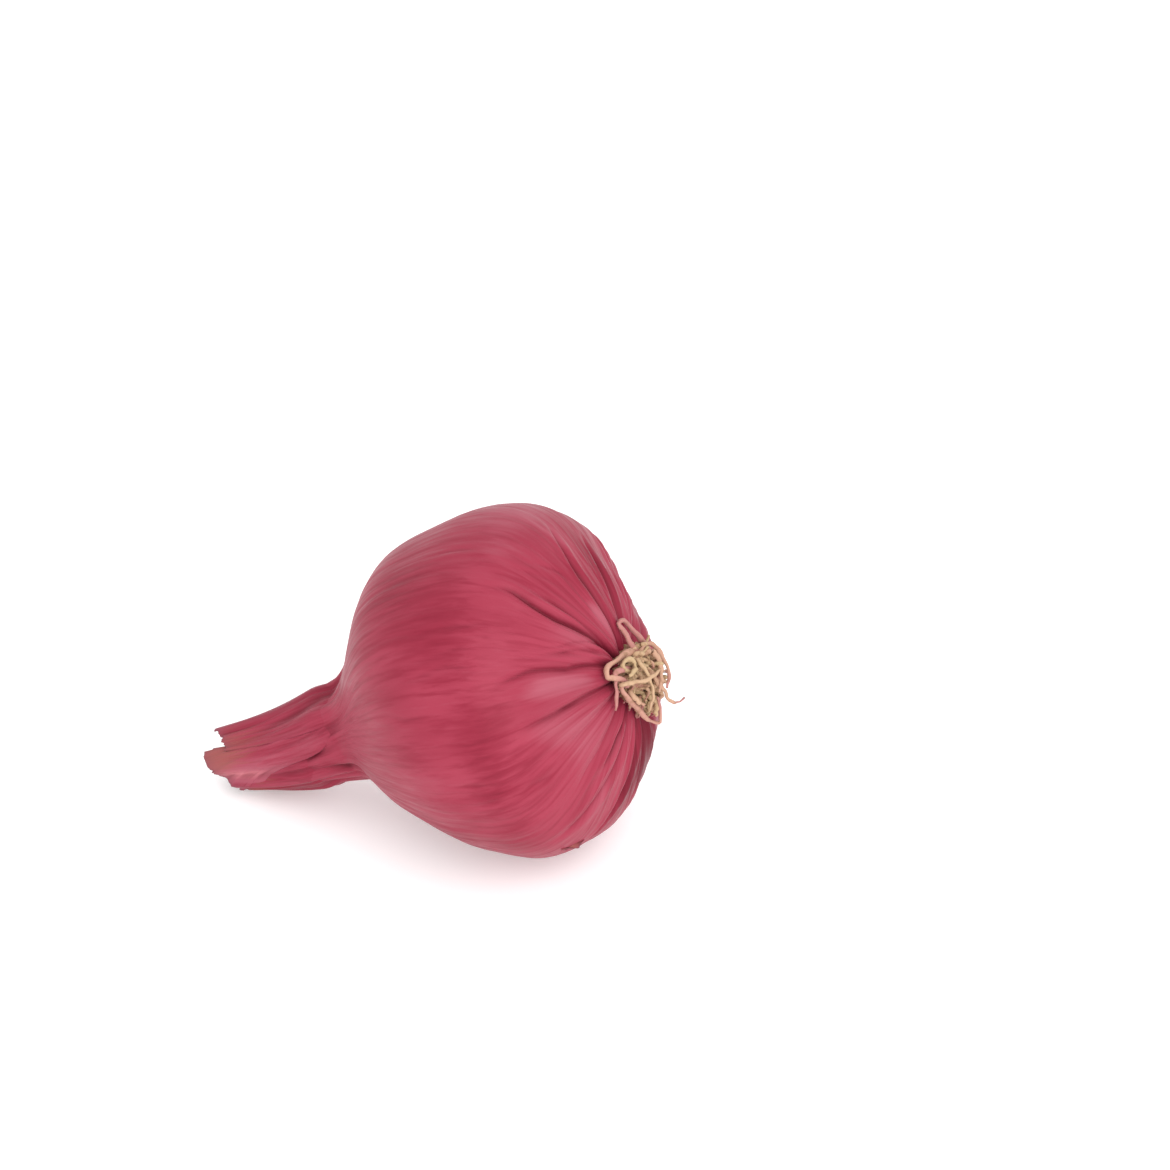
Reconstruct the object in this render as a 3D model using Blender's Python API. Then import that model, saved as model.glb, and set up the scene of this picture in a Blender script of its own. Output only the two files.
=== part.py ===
"""A red onion lying on its side: the bulb with its dried neck, and the stem plate with its roots.

Metres, +Z up. The onion rests on z = 0, and the origin is under the middle of its bounding box.
+X points towards the root end, and the neck trails towards -X until it touches the surface.

The bulb is a profile turned about a bent line, its spine. A point on it has a station, the distance
along the spine from the root pole, and an angle round the spine: 0 looks along +Y, 90 degrees is
the upper side, 180 looks along -Y and 270 is the side that faces the table.
"""

import math
import random

import bmesh
import bpy
import numpy as np
from mathutils import Matrix, Vector

MM = 0.001

# Driving dimensions of the bulb, in metres
BELLY_RADIUS = 33.0 * MM
ROOT_END_LENGTH = 26.3 * MM
SHOULDER_LENGTH = 33.7 * MM
NECK_LENGTH = 30.3 * MM
NECK_CORE_LENGTH = 24.0 * MM
NECK_BASE_RADIUS = 10.1 * MM
NECK_END_RADIUS = 5.3 * MM
ROOT_END_SQUARENESS = 2.57
SHOULDER_FULLNESS = 1.23
SHOULDER_SHARPNESS = 0.92

# Slopes of the spine below the horizontal, in degrees, going from the root pole to the neck
BODY_TILT = 14.0
ROOT_EXTRA_TILT = 4.8
SHOULDER_DROOP = 19.0
NECK_EASE = 15.0

# How far the root end turns sideways, towards -Y, in degrees
ROOT_END_TURN = 8.0

# How much of the underside is pressed flat
FLAT_DEPTH = 0.4 * MM

# Where the bulb is fuller (+) or leaner (-) than the turned profile: angle in degrees, station and
# height in millimetres, then how far it spreads, round in degrees and along in millimetres.
FULLNESS = [
    (95.0, 41.0, 0.9, 35.0, 5.0),
    (74.0, 33.0, -0.9, 35.0, 5.0),
    (62.0, 21.0, 0.6, 30.0, 7.0),
    (14.0, 5.5, -3.4, 42.0, 5.0),
    (288.0, 5.5, -1.0, 32.0, 4.5),
    (228.0, 31.0, -1.5, 32.0, 7.0),
    (202.0, 49.5, 2.5, 34.0, 8.0),
    (240.0, 66.0, -0.9, 35.0, 6.0),
]

# Dimple and pocket that hold the stem plate
DIMPLE_DEPTH = 2.4 * MM
DIMPLE_RADIUS = 7.5 * MM
PLATE_RADIUS = 5.6 * MM
PLATE_DOME = 2.0 * MM
PLATE_PEG = 1.3 * MM
FIT_GAP = 0.3 * MM

# Mesh fineness
NARROWEST_COLUMN_DEG = 1.2
WIDEST_COLUMN_DEG = 7.0
ROOT_END_RINGS = 15
SHOULDER_RINGS = 12
NECK_RINGS = 8

# The skin's fibres fan out from the root pole, away from this angle, and settle after a distance
FAN_FROM_DEG = 135.0
FAN_DEG_PER_MM = 2.0
FAN_LENGTH = 10.0 * MM

# Pleats that gather the skin at the root end, along its fibres: angle at the pole and half width in
# degrees, then depth and how far they reach along the spine, in millimetres.
SEEN_PLEATS = [
    (72.0, 2.6, 0.7, 9.0),
    (94.0, 3.4, 1.1, 13.0),
    (124.0, 3.2, 1.5, 17.0),
    (143.5, 3.0, 0.9, 20.0),
    (158.0, 3.6, 1.3, 15.0),
    (178.0, 2.6, 0.6, 9.0),
    (198.0, 3.2, 1.1, 9.0),
]
HIDDEN_PLEATS = 8
HIDDEN_FROM_DEG, HIDDEN_SPAN_DEG = 222.0, 192.0

# Folds of the neck: angle, drift in degrees per millimetre past the neck's base, depth, width
NECK_FOLDS = [
    (104.0, 0.9, 1.1, 3.0),
    (143.0, 0.3, 0.8, 2.2),
    (176.0, 0.6, 1.0, 2.6),
    (215.0, 0.6, 1.0, 3.0),
    (262.0, -0.5, 0.9, 3.0),
    (310.0, 0.4, 1.3, 3.0),
    (352.0, 0.8, 1.2, 2.8),
    (40.0, -0.6, 1.2, 3.0),
    (72.0, -0.3, 0.9, 2.6),
]

# Torn ends of the dry leaves round the neck: the angles of both edges where the leaf comes out of
# the neck and at its torn end, the station where it comes out, the stations of the end at both
# edges, its height over the neck, and how far the end leans out, in degrees and millimetres.
LEAF_ENDS = [
    ((40.0, 132.0), (46.0, 106.0), 62.0, (92.5, 88.5), 0.5, 0.5),
    ((92.0, 152.0), (116.0, 200.0), 58.0, (91.5, 94.5), 1.0, -0.6),
    ((186.0, 262.0), (190.0, 262.0), 65.0, (82.0, 84.0), 0.3, 0.1),
    ((240.0, 318.0), (222.0, 296.0), 63.0, (90.5, 87.5), 0.6, -0.6),
    ((288.0, 372.0), (286.0, 360.0), 66.0, (86.0, 90.0), 1.0, -0.2),
    ((350.0, 425.0), (352.0, 420.0), 63.0, (89.0, 87.5), 0.7, 0.5),
]
LEAF_THICKNESS = 0.8 * MM
LEAF_STEPS_ALONG = 9
LEAF_STEPS_ROUND = 8
LEAF_TUCK = 0.4 * MM
TORN_DEPTH = 1.6 * MM

# Roots
ROOT_COUNT = 32
ROOT_RADIUS = 0.52 * MM
ROOT_SIDES = 5
ROOT_STEPS = 7
ROOT_CLEARANCE = 0.9 * MM
ROOT_SEED = 11

SKIN_COLOUR = (0.48, 0.07, 0.12, 1.0)
ROOT_COLOUR = (0.58, 0.42, 0.26, 1.0)


def ease(x):
    """0 below 0, 1 above 1, and a smooth step between them."""
    x = np.clip(x, 0.0, 1.0)
    return x * x * (3.0 - 2.0 * x)


def root_end_stations(count):
    """Stations from the root pole to the belly, closer together where the profile turns."""
    theta = np.linspace(0.0, math.pi / 2, count)
    return ROOT_END_LENGTH * (1.0 - np.cos(theta) ** (2.0 / ROOT_END_SQUARENESS))


def profile(station):
    """Radius of the bulb at each station: a squarish cap, a bell-shaped shoulder, a tapering neck."""
    cap = BELLY_RADIUS * np.sqrt(
        np.clip(1.0 - np.abs(1.0 - station / ROOT_END_LENGTH) ** ROOT_END_SQUARENESS, 0.0, 1.0)
    )
    past_belly = np.clip((station - ROOT_END_LENGTH) / SHOULDER_LENGTH, 0.0, 1.0)
    bell = (0.5 + 0.5 * np.cos(math.pi * past_belly**SHOULDER_FULLNESS)) ** SHOULDER_SHARPNESS
    down_neck = np.clip((station - ROOT_END_LENGTH - SHOULDER_LENGTH) / NECK_LENGTH, 0.0, 1.2)
    neck = NECK_BASE_RADIUS + (NECK_END_RADIUS - NECK_BASE_RADIUS) * down_neck
    return np.where(station < ROOT_END_LENGTH, cap, neck + (BELLY_RADIUS - NECK_BASE_RADIUS) * bell)


def spine_slope(station):
    """Slope of the spine in radians at each station."""
    root = ease((ROOT_END_LENGTH - station) / ROOT_END_LENGTH)
    shoulder = ease((station - 0.8 * ROOT_END_LENGTH) / SHOULDER_LENGTH)
    neck = ease((station - ROOT_END_LENGTH - 0.9 * SHOULDER_LENGTH) / NECK_LENGTH)
    return np.radians(
        BODY_TILT + ROOT_EXTRA_TILT * root + SHOULDER_DROOP * shoulder - NECK_EASE * neck
    )


def spine_axes(station):
    """Unit vectors at each station: along the spine towards the root end, to its side, and up across it."""
    slope = spine_slope(station)
    turned = math.radians(ROOT_END_TURN) * ease((ROOT_END_LENGTH - station) / ROOT_END_LENGTH)
    out = np.stack(
        [np.cos(slope) * np.cos(turned), -np.sin(turned), np.sin(slope) * np.cos(turned)], -1
    )
    side = np.stack(
        [np.cos(slope) * np.sin(turned), np.cos(turned), np.sin(slope) * np.sin(turned)], -1
    )
    rise = np.stack([-np.sin(slope), np.zeros_like(slope), np.cos(slope)], -1)
    return out, side, rise


def spine(station):
    """Points of the spine, with the belly's middle at the origin: its direction added up in small steps."""
    fine = np.linspace(0.0, ROOT_END_LENGTH + SHOULDER_LENGTH + 1.3 * NECK_LENGTH, 600)
    out = spine_axes(0.5 * (fine[1:] + fine[:-1]))[0]
    steps = -out * np.diff(fine)[:, None]
    line = np.concatenate([np.zeros((1, 3)), np.cumsum(steps, axis=0)])
    belly = [np.interp(ROOT_END_LENGTH, fine, line[:, i]) for i in range(3)]
    return np.stack([np.interp(station, fine, line[:, i]) - belly[i] for i in range(3)], -1)


def ring_directions(station, angle):
    """Unit directions across the spine at each station and angle."""
    _, side, rise = spine_axes(station)
    return np.cos(angle)[..., None] * side + np.sin(angle)[..., None] * rise


def all_pleats():
    """The named pleats, and those of the far side spread evenly with a seeded jitter."""
    draw = random.Random(3)
    step = HIDDEN_SPAN_DEG / HIDDEN_PLEATS
    hidden = [
        (
            HIDDEN_FROM_DEG + step * (k + 0.4 * draw.random()),
            draw.uniform(2.8, 3.8),
            draw.uniform(0.6, 1.3),
            draw.uniform(8.0, 16.0),
        )
        for k in range(HIDDEN_PLEATS)
    ]
    return SEEN_PLEATS + hidden


def groove(x):
    """A crease one deep at 0 and about one wide, with the skin slightly puffed on both sides of it."""
    return np.exp(-x * x) - 0.4 * np.exp(-((np.abs(x) - 2.1) ** 2))


def turn(angle, middle):
    """Angle from middle, between -pi and pi."""
    return (angle - middle + math.pi) % (2 * math.pi) - math.pi


def fibre_columns():
    """Angles at the pole of the skin's columns: five across each pleat, and even steps between pleats."""
    across = np.array([-2.2, -1.0, 0.0, 1.0, 2.2])
    marks = np.sort(np.concatenate([(a + across * w) % 360.0 for a, w, _, _ in all_pleats()]))
    marks = marks[np.diff(np.append(marks, marks[0] + 360.0)) > NARROWEST_COLUMN_DEG]
    gaps = np.diff(np.append(marks, marks[0] + 360.0))
    filled = [
        np.linspace(mark, mark + gap, int(math.ceil(gap / WIDEST_COLUMN_DEG)), endpoint=False)
        for mark, gap in zip(marks, gaps)
    ]
    return np.radians(np.concatenate(filled))


def fan_out(station, column):
    """Angle that a fibre has at each station: it turns away from FAN_FROM_DEG near the root pole."""
    far = FAN_LENGTH * np.tanh(station / FAN_LENGTH) / MM
    return column + np.radians(FAN_DEG_PER_MM * far) * np.sin(column - math.radians(FAN_FROM_DEG))


def fullness(station, angle):
    """How far the skin lies over the turned profile where the bulb isn't quite round."""
    over = np.zeros(np.shape(station))
    for middle, place, height, round_deg, along in FULLNESS:
        round_share = turn(angle, math.radians(middle)) / math.radians(round_deg)
        along_share = (station - place * MM) / (along * MM)
        over = over + height * MM * np.exp(-(round_share**2) - along_share**2)
    return over * ease(profile(station) / (11.0 * MM))


def relief(station, column, angle):
    """How far the skin lies below its plain form: the dimple, root-end pleats and the neck's folds."""
    radius = profile(station)
    sunk = DIMPLE_DEPTH * np.exp(-((radius / DIMPLE_RADIUS) ** 2)) * (station < ROOT_END_LENGTH)
    for middle, half_width, depth, reach in all_pleats():
        near = ease(radius / (9.0 * MM)) * np.exp(-((station / (reach * MM)) ** 2))
        share = np.degrees(turn(column, math.radians(middle))) / half_width
        sunk = sunk + depth * MM * near * groove(share)
    neck_base = ROOT_END_LENGTH + SHOULDER_LENGTH
    for middle, drift, depth, width in NECK_FOLDS:
        here = np.radians(middle + drift * (station - neck_base) / MM)
        grown = ease((station - neck_base + 10.0 * MM) / (16.0 * MM))
        share = radius * turn(angle, here) / (0.5 * width * MM)
        sunk = sunk + depth * MM * grown * groove(share)
    return sunk


def bulb_grid():
    """Points of the bulb's skin as rings, the first one at the root pole."""
    belly, base = ROOT_END_LENGTH, ROOT_END_LENGTH + SHOULDER_LENGTH
    stations = np.concatenate(
        [
            root_end_stations(ROOT_END_RINGS + 1)[1:],
            np.linspace(belly, base, SHOULDER_RINGS + 1)[1:],
            np.linspace(base, base + NECK_CORE_LENGTH, NECK_RINGS + 1)[1:],
        ]
    )
    station, column = np.meshgrid(stations, fibre_columns(), indexing="ij")
    angle = fan_out(station, column)
    middle, across = spine(station), ring_directions(station, angle)
    plain = middle + profile(station)[..., None] * across
    along = np.gradient(plain, axis=0)
    round_it = np.roll(plain, -1, 1) - np.roll(plain, 1, 1)
    normal = np.cross(round_it, along)
    normal /= np.linalg.norm(normal, axis=-1, keepdims=True)
    normal *= np.sign((normal * across).sum(-1, keepdims=True) + 1e-9)
    over = fullness(station, angle) - relief(station, column, angle)
    return plain + over[..., None] * normal


def resting_height():
    """Height of the belly's middle when FLAT_DEPTH of the underside is below the table."""
    return -float(bulb_grid()[..., 2].min()) - FLAT_DEPTH


def placed(points, height):
    """Points lifted so that the belly's middle is at this height over the table."""
    return points + np.array([0.0, 0.0, height])


def mesh_object(name, points, faces, material):
    """An object with a mesh of these points and faces."""
    mesh = bpy.data.meshes.new(name)
    mesh.from_pydata([tuple(map(float, p)) for p in points], [], faces)
    mesh.materials.append(material)
    mesh.update()
    made = bpy.data.objects.new(name, mesh)
    bpy.context.scene.collection.objects.link(made)
    return made


def rings_closed(rings, first_pole, last_pole):
    """Points and triangles of a closed skin over rings of equal length, with a pole at each end."""
    count, size = rings.shape[:2]
    points = np.concatenate([rings.reshape(-1, 3), [first_pole, last_pole]])
    first, last = count * size, count * size + 1
    faces = []
    for i in range(count - 1):
        for j in range(size):
            a, b = i * size + j, i * size + (j + 1) % size
            c, d = a + size, b + size
            faces += [(a, b, d), (a, d, c)]
    for j in range(size):
        after = (j + 1) % size
        faces.append((first, after, j))
        faces.append((last, (count - 1) * size + j, (count - 1) * size + after))
    return points, faces


def face_outwards(made):
    """Turns every face of a closed mesh outwards."""
    work = bmesh.new()
    work.from_mesh(made.data)
    bmesh.ops.recalc_face_normals(work, faces=work.faces)
    work.to_mesh(made.data)
    work.free()


def sheet_closed(outer, inner):
    """Points and triangles of a thin closed sheet between two grids, split the same way on both faces."""
    rows, columns = outer.shape[:2]
    points = np.concatenate([outer.reshape(-1, 3), inner.reshape(-1, 3)])
    under = rows * columns
    faces = []
    for i in range(rows - 1):
        for j in range(columns - 1):
            a, b = i * columns + j, i * columns + j + 1
            c, d = a + columns, b + columns
            faces += [(a, b, d), (a, d, c)]
            faces += [(under + a, under + d, under + b), (under + a, under + c, under + d)]
    top = [j for j in range(columns)]
    right = [i * columns + columns - 1 for i in range(1, rows)]
    bottom = [(rows - 1) * columns + j for j in range(columns - 2, -1, -1)]
    left = [i * columns for i in range(rows - 2, 0, -1)]
    rim = top + right + bottom + left
    for k, a in enumerate(rim):
        b = rim[(k + 1) % len(rim)]
        faces += [(a, under + a, under + b), (a, under + b, b)]
    return points, faces


def leaf_end(index, spec, height, material):
    """One torn end of a dry leaf: it rises out of the neck, follows it and ends in a ragged edge."""
    root_edges, end_edges, start, ends, lift, lean = spec
    draw = random.Random(20 + index)
    teeth = np.array([draw.random() for _ in range(LEAF_STEPS_ROUND + 1)])
    across = np.linspace(0.0, 1.0, LEAF_STEPS_ROUND + 1)
    along = np.linspace(0.0, 1.0, LEAF_STEPS_ALONG + 1)
    side, far = np.meshgrid(across, along)
    end = (ends[0] + (ends[1] - ends[0]) * across) * MM - TORN_DEPTH * teeth
    station = start * MM + far * (end[None, :] - start * MM)
    first = root_edges[0] + (end_edges[0] - root_edges[0]) * far
    last = root_edges[1] + (end_edges[1] - root_edges[1]) * far
    angle = np.radians(first + (last - first) * side)
    out_of_neck = ease(far / 0.4)
    proud = lift * MM * out_of_neck - 1.6 * MM * (1.0 - out_of_neck) + lean * MM * far**3
    radius = profile(station) + proud - LEAF_TUCK * np.abs(2.0 * side - 1.0) ** 4
    out = ring_directions(station, angle)
    outer = spine(station) + radius[..., None] * out
    inner = outer - LEAF_THICKNESS * out
    points, faces = sheet_closed(placed(outer, height), placed(inner, height))
    made = mesh_object(f"leaf_end_{index}", points, faces, material)
    face_outwards(made)
    return made


def join_by_union(target, others, solver):
    """Fuses the other objects into the target with one Boolean on their collection, then removes them."""
    group = bpy.data.collections.new(target.name + "_pieces")
    for piece in others:
        group.objects.link(piece)
    union = target.modifiers.new("grown together", "BOOLEAN")
    union.operation = "UNION"
    union.operand_type = "COLLECTION"
    union.collection = group
    union.solver = solver
    apply_modifiers(target)
    for piece in others:
        bpy.data.objects.remove(piece)
    bpy.data.collections.remove(group)


def apply_modifiers(target):
    """Keeps the shape that the object's modifiers give it, and removes them."""
    bpy.context.view_layer.update()
    shaped = target.evaluated_get(bpy.context.evaluated_depsgraph_get())
    mesh = bpy.data.meshes.new_from_object(shaped)
    target.modifiers.clear()
    target.data = mesh


def keep_outer_skin(target):
    """Fills sealed hollows and drops loose scraps by keeping only the largest connected skin."""
    work = bmesh.new()
    work.from_mesh(target.data)
    unseen = set(work.faces)
    skins = []
    while unseen:
        front = [unseen.pop()]
        skin = list(front)
        while front:
            face = front.pop()
            beside = [f for edge in face.edges if len(edge.link_faces) == 2 for f in edge.link_faces]
            for other in beside:
                if other in unseen:
                    unseen.discard(other)
                    front.append(other)
                    skin.append(other)
        skins.append(skin)
    skins.sort(key=len)
    for skin in skins[:-1]:
        bmesh.ops.delete(work, geom=skin, context="FACES")
    work.to_mesh(target.data)
    work.free()


def cut_away(target, cutter):
    """Cuts the cutter's shape out of the target, then removes the cutter."""
    cut = target.modifiers.new("cut by " + cutter.name, "BOOLEAN")
    cut.operation = "DIFFERENCE"
    cut.object = cutter
    cut.solver = "EXACT"
    apply_modifiers(target)
    bpy.data.objects.remove(cutter)


def root_frame(height):
    """The root pole's place, and the unit vectors out of it, to its side and up across it."""
    out, side, rise = spine_axes(np.array(0.0))
    return placed(spine(np.array(0.0)), height), out, side, rise


def in_root_frame(frame, radius, turned, out_by):
    """World points from the distance off the root axis, the angle round it and the distance out."""
    pole, out, side, rise = frame
    return (
        pole
        + np.multiply.outer(radius * np.cos(turned), side)
        + np.multiply.outer(radius * np.sin(turned), rise)
        + np.multiply.outer(out_by, out)
    )


def skin_height(radius):
    """How far out of the root pole the dimpled skin is at this distance off the axis (negative is in)."""
    share = np.clip(1.0 - (radius / BELLY_RADIUS) ** 2, 0.0, 1.0)
    cap = -ROOT_END_LENGTH * (1.0 - share ** (1.0 / ROOT_END_SQUARENESS))
    return cap - DIMPLE_DEPTH * np.exp(-((radius / DIMPLE_RADIUS) ** 2))


def root_path(draw, k, count):
    """One root in the root frame, as distances off the axis, angles and heights out of the pole.

    It starts inside the plate, rises, then arches over and falls back towards the skin.
    """
    share = (k + 0.5) / count
    start = 0.82 * PLATE_RADIUS * math.sqrt(share)
    turned = k * math.radians(137.5) + draw.uniform(-0.25, 0.25)
    rise = draw.uniform(2.8, 8.0) * MM * (1.1 - 0.4 * share)
    reach = draw.uniform(1.2, 8.4) * MM * (0.45 + 0.75 * share)
    fall = draw.uniform(0.25, 1.0)
    swirl = draw.uniform(-1.1, 1.1)
    wobble = draw.uniform(0.2, 0.7) * MM
    phase = draw.uniform(0.0, 2 * math.pi)
    far = np.linspace(0.0, 1.0, ROOT_STEPS)
    radius = start + reach * far**1.4 + wobble * np.sin(5.0 * far + phase) * far
    angle = turned + swirl * far**1.5 + 0.25 * np.sin(6.0 * far + phase) * far
    base = float(skin_height(np.array(start))) + 0.6 * MM
    arch = np.sin(math.pi * (0.5 + 0.5 * fall) * far)
    out_by = base + rise * arch + wobble * np.cos(4.0 * far + phase) * far
    clear = far > 0.3
    floor = skin_height(radius) + ROOT_CLEARANCE + ROOT_RADIUS
    return radius, angle, np.where(clear, np.maximum(out_by, floor), out_by)


def tube(path, radii, sides):
    """Rings of a tube along the path, square to it."""
    ahead = np.gradient(path, axis=0)
    ahead /= np.linalg.norm(ahead, axis=1, keepdims=True)
    rings = []
    across = Vector(ahead[0]).orthogonal().normalized()
    for point, forward, radius in zip(path, ahead, radii):
        forward = Vector(forward)
        across = (across - forward * across.dot(forward)).normalized()
        other = forward.cross(across)
        turned = np.linspace(0.0, 2 * math.pi, sides, endpoint=False)
        spread = np.outer(np.cos(turned), across) + np.outer(np.sin(turned), other)
        rings.append(point + radius * spread)
    return np.array(rings)


def build_bulb(height, skin):
    """The bulb with its neck: turned skin, torn leaf ends, the plate's pocket and the flat underside."""
    rings = placed(bulb_grid(), height)
    pole, out, _, _ = root_frame(height)
    first_pole = pole - DIMPLE_DEPTH * out
    last_pole = rings[-1].mean(axis=0)
    points, faces = rings_closed(rings, first_pole, last_pole)
    bulb = mesh_object("bulb", points, faces, skin)
    face_outwards(bulb)
    leaves = [leaf_end(i, spec, height, skin) for i, spec in enumerate(LEAF_ENDS)]
    join_by_union(bulb, leaves, "EXACT")
    cut_away(bulb, pocket_cutter(height))
    cut_away(bulb, table_cutter())
    keep_outer_skin(bulb)
    return bulb


def pocket_cutter(height):
    """A short cylinder that leaves room for the stem plate's peg."""
    pole, out, _, _ = root_frame(height)
    floor = DIMPLE_DEPTH + PLATE_PEG + FIT_GAP
    bpy.ops.mesh.primitive_cylinder_add(
        vertices=20, radius=PLATE_RADIUS + FIT_GAP, depth=floor + 2.0 * MM
    )
    cutter = bpy.context.object
    cutter.name = "plate_pocket"
    cutter.rotation_euler = Vector(out).to_track_quat("Z", "Y").to_euler()
    cutter.location = Vector(pole - out * (0.5 * floor - 1.0 * MM))
    return cutter


def table_cutter():
    """A block whose top is the table."""
    bpy.ops.mesh.primitive_cube_add(size=1.0)
    cutter = bpy.context.object
    cutter.name = "table_plane"
    cutter.scale = (0.3, 0.2, 0.02)
    cutter.location = (0.0, 0.0, -0.01)
    return cutter


def build_root_tuft(height, straw):
    """The stem plate, a low dome on a peg, with the roots grown out of it."""
    frame = root_frame(height)
    seat = -DIMPLE_DEPTH
    outline = [
        (PLATE_RADIUS, seat - PLATE_PEG),
        (PLATE_RADIUS, seat + 0.5 * MM),
        (0.88 * PLATE_RADIUS, seat + 0.55 * PLATE_DOME),
        (0.55 * PLATE_RADIUS, seat + 0.9 * PLATE_DOME),
    ]
    angles = np.linspace(0.0, 2 * math.pi, 20, endpoint=False)
    rings = np.array(
        [
            in_root_frame(frame, r * (1.0 - 0.04 * (1.0 + np.sin(5 * angles))), angles, z + 0 * angles)
            for r, z in outline
        ]
    )
    pole, out, _, _ = frame
    low, high = pole + (seat - PLATE_PEG) * out, pole + (seat + PLATE_DOME) * out
    points, faces = rings_closed(rings, low, high)
    plate = mesh_object("root_tuft", points, faces, straw)
    face_outwards(plate)
    draw = random.Random(ROOT_SEED)
    roots = []
    for k in range(ROOT_COUNT):
        radius, angle, out_by = root_path(draw, k, ROOT_COUNT)
        flat = np.stack([radius * np.cos(angle), radius * np.sin(angle), out_by], -1)
        path = pole + flat @ np.array([frame[2], frame[3], frame[1]])
        radii = ROOT_RADIUS * np.linspace(1.15, 0.75, len(path))
        ring = tube(path, radii, ROOT_SIDES)
        points, faces = rings_closed(ring, path[0], path[-1])
        roots.append(mesh_object(f"root_{k}", points, faces, straw))
        face_outwards(roots[-1])
    join_by_union(plate, roots, "MANIFOLD")
    keep_outer_skin(plate)
    return plate


def centre_over_origin(pieces):
    """Moves the pieces together, level, until the middle of their common box is over the origin."""
    corners = np.array([v.co for piece in pieces for v in piece.data.vertices])
    middle = 0.5 * (corners.min(axis=0) + corners.max(axis=0))
    for piece in pieces:
        piece.data.transform(Matrix.Translation((-middle[0], -middle[1], 0.0)))


def principled(name, colour, roughness):
    """A plain Principled material."""
    made = bpy.data.materials.new(name)
    made.use_nodes = True
    shader = made.node_tree.nodes["Principled BSDF"]
    shader.inputs["Base Color"].default_value = colour
    shader.inputs["Roughness"].default_value = roughness
    shader.inputs["Metallic"].default_value = 0.0
    return made


def main():
    for old in list(bpy.data.objects):
        bpy.data.objects.remove(old)
    skin = principled("dry red skin", SKIN_COLOUR, 0.45)
    straw = principled("dry root", ROOT_COLOUR, 0.8)
    height = resting_height()
    bulb = build_bulb(height, skin)
    root_tuft = build_root_tuft(height, straw)
    centre_over_origin([bulb, root_tuft])


main()
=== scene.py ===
"""The looks of a red onion lying on its side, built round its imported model.

The bulb is a profile turned about a bent line, its spine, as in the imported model. A point on it has a
station, the distance along the spine from the root pole, and an angle round the spine: 0 looks along
+Y, 90 degrees is the upper side, 180 looks along -Y and 270 is the side that faces the table.
Lengths are in metres. A table that says so holds millimetres and degrees.
"""

import math
from typing import NamedTuple

import bpy
import numpy as np
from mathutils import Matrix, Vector


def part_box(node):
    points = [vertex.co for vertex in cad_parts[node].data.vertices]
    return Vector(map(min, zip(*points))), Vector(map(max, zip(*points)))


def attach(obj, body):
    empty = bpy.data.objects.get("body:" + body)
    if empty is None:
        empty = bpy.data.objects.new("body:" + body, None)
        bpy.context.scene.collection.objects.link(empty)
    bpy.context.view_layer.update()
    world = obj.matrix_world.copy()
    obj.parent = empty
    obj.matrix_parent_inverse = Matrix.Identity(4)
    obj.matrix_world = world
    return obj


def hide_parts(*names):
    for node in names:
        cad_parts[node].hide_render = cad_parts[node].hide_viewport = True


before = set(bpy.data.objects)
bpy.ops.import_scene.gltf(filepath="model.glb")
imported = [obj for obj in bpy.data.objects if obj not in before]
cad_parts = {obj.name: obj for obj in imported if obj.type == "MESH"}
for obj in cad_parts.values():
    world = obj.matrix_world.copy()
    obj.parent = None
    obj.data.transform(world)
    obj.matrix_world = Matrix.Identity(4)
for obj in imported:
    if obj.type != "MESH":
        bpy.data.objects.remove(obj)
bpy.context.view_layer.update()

bl_info = {
    "name": "Red Onion",
    "version": (1, 0, 0),
    "blender": (4, 5, 0),
    "location": "3D View > Sidebar > Red Onion",
    "description": "Builds the skin, neck, roots and stage of a red onion round its packed model",
    "category": "Add Mesh",
}

MM = 0.001

# The turned form of the bulb
BELLY_RADIUS = 33.0 * MM
ROOT_END_LENGTH = 26.3 * MM
SHOULDER_LENGTH = 33.7 * MM
NECK_LENGTH = 30.3 * MM
NECK_CORE_LENGTH = 24.0 * MM
NECK_BASE_RADIUS = 10.1 * MM
NECK_END_RADIUS = 5.3 * MM
NECK_BASE = ROOT_END_LENGTH + SHOULDER_LENGTH
ROOT_END_SQUARENESS = 2.57
SHOULDER_FULLNESS = 1.23
SHOULDER_SHARPNESS = 0.92

# Slopes of the spine below the horizontal, and the sideways turn of the root end, in degrees
BODY_TILT = 14.0
ROOT_EXTRA_TILT = 4.8
SHOULDER_DROOP = 19.0
NECK_EASE = 15.0
ROOT_END_TURN = 8.0

# Where the bulb is fuller (+) or leaner (-) than the turned profile: angle in degrees, station and
# height in millimetres, then how far it spreads, round in degrees and along in millimetres
FULLNESS = [
    (95.0, 41.0, 0.9, 35.0, 5.0),
    (74.0, 33.0, -0.9, 35.0, 5.0),
    (62.0, 21.0, 0.6, 30.0, 7.0),
    (14.0, 5.5, -3.4, 42.0, 5.0),
    (288.0, 5.5, -1.0, 32.0, 4.5),
    (228.0, 31.0, -1.5, 32.0, 7.0),
    (202.0, 49.5, 2.5, 34.0, 8.0),
    (240.0, 66.0, -0.9, 35.0, 6.0),
]

# How wide the bulb is where those places have grown to their whole height
FULLNESS_GROWN_RADIUS = 11.0 * MM

# The dimple that holds the stem plate, and the plate
DIMPLE_DEPTH = 2.4 * MM
DIMPLE_RADIUS = 7.5 * MM
PLATE_RADIUS = 5.6 * MM
PLATE_DOME = 2.0 * MM
PLATE_SEAT_DEPTH = 1.4 * MM

# The skin's fibres fan out from the root pole, away from this angle, and settle after a distance
FAN_FROM_DEG = 135.0
FAN_DEG_PER_MM = 2.0
FAN_LENGTH = 10.0 * MM

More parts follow.
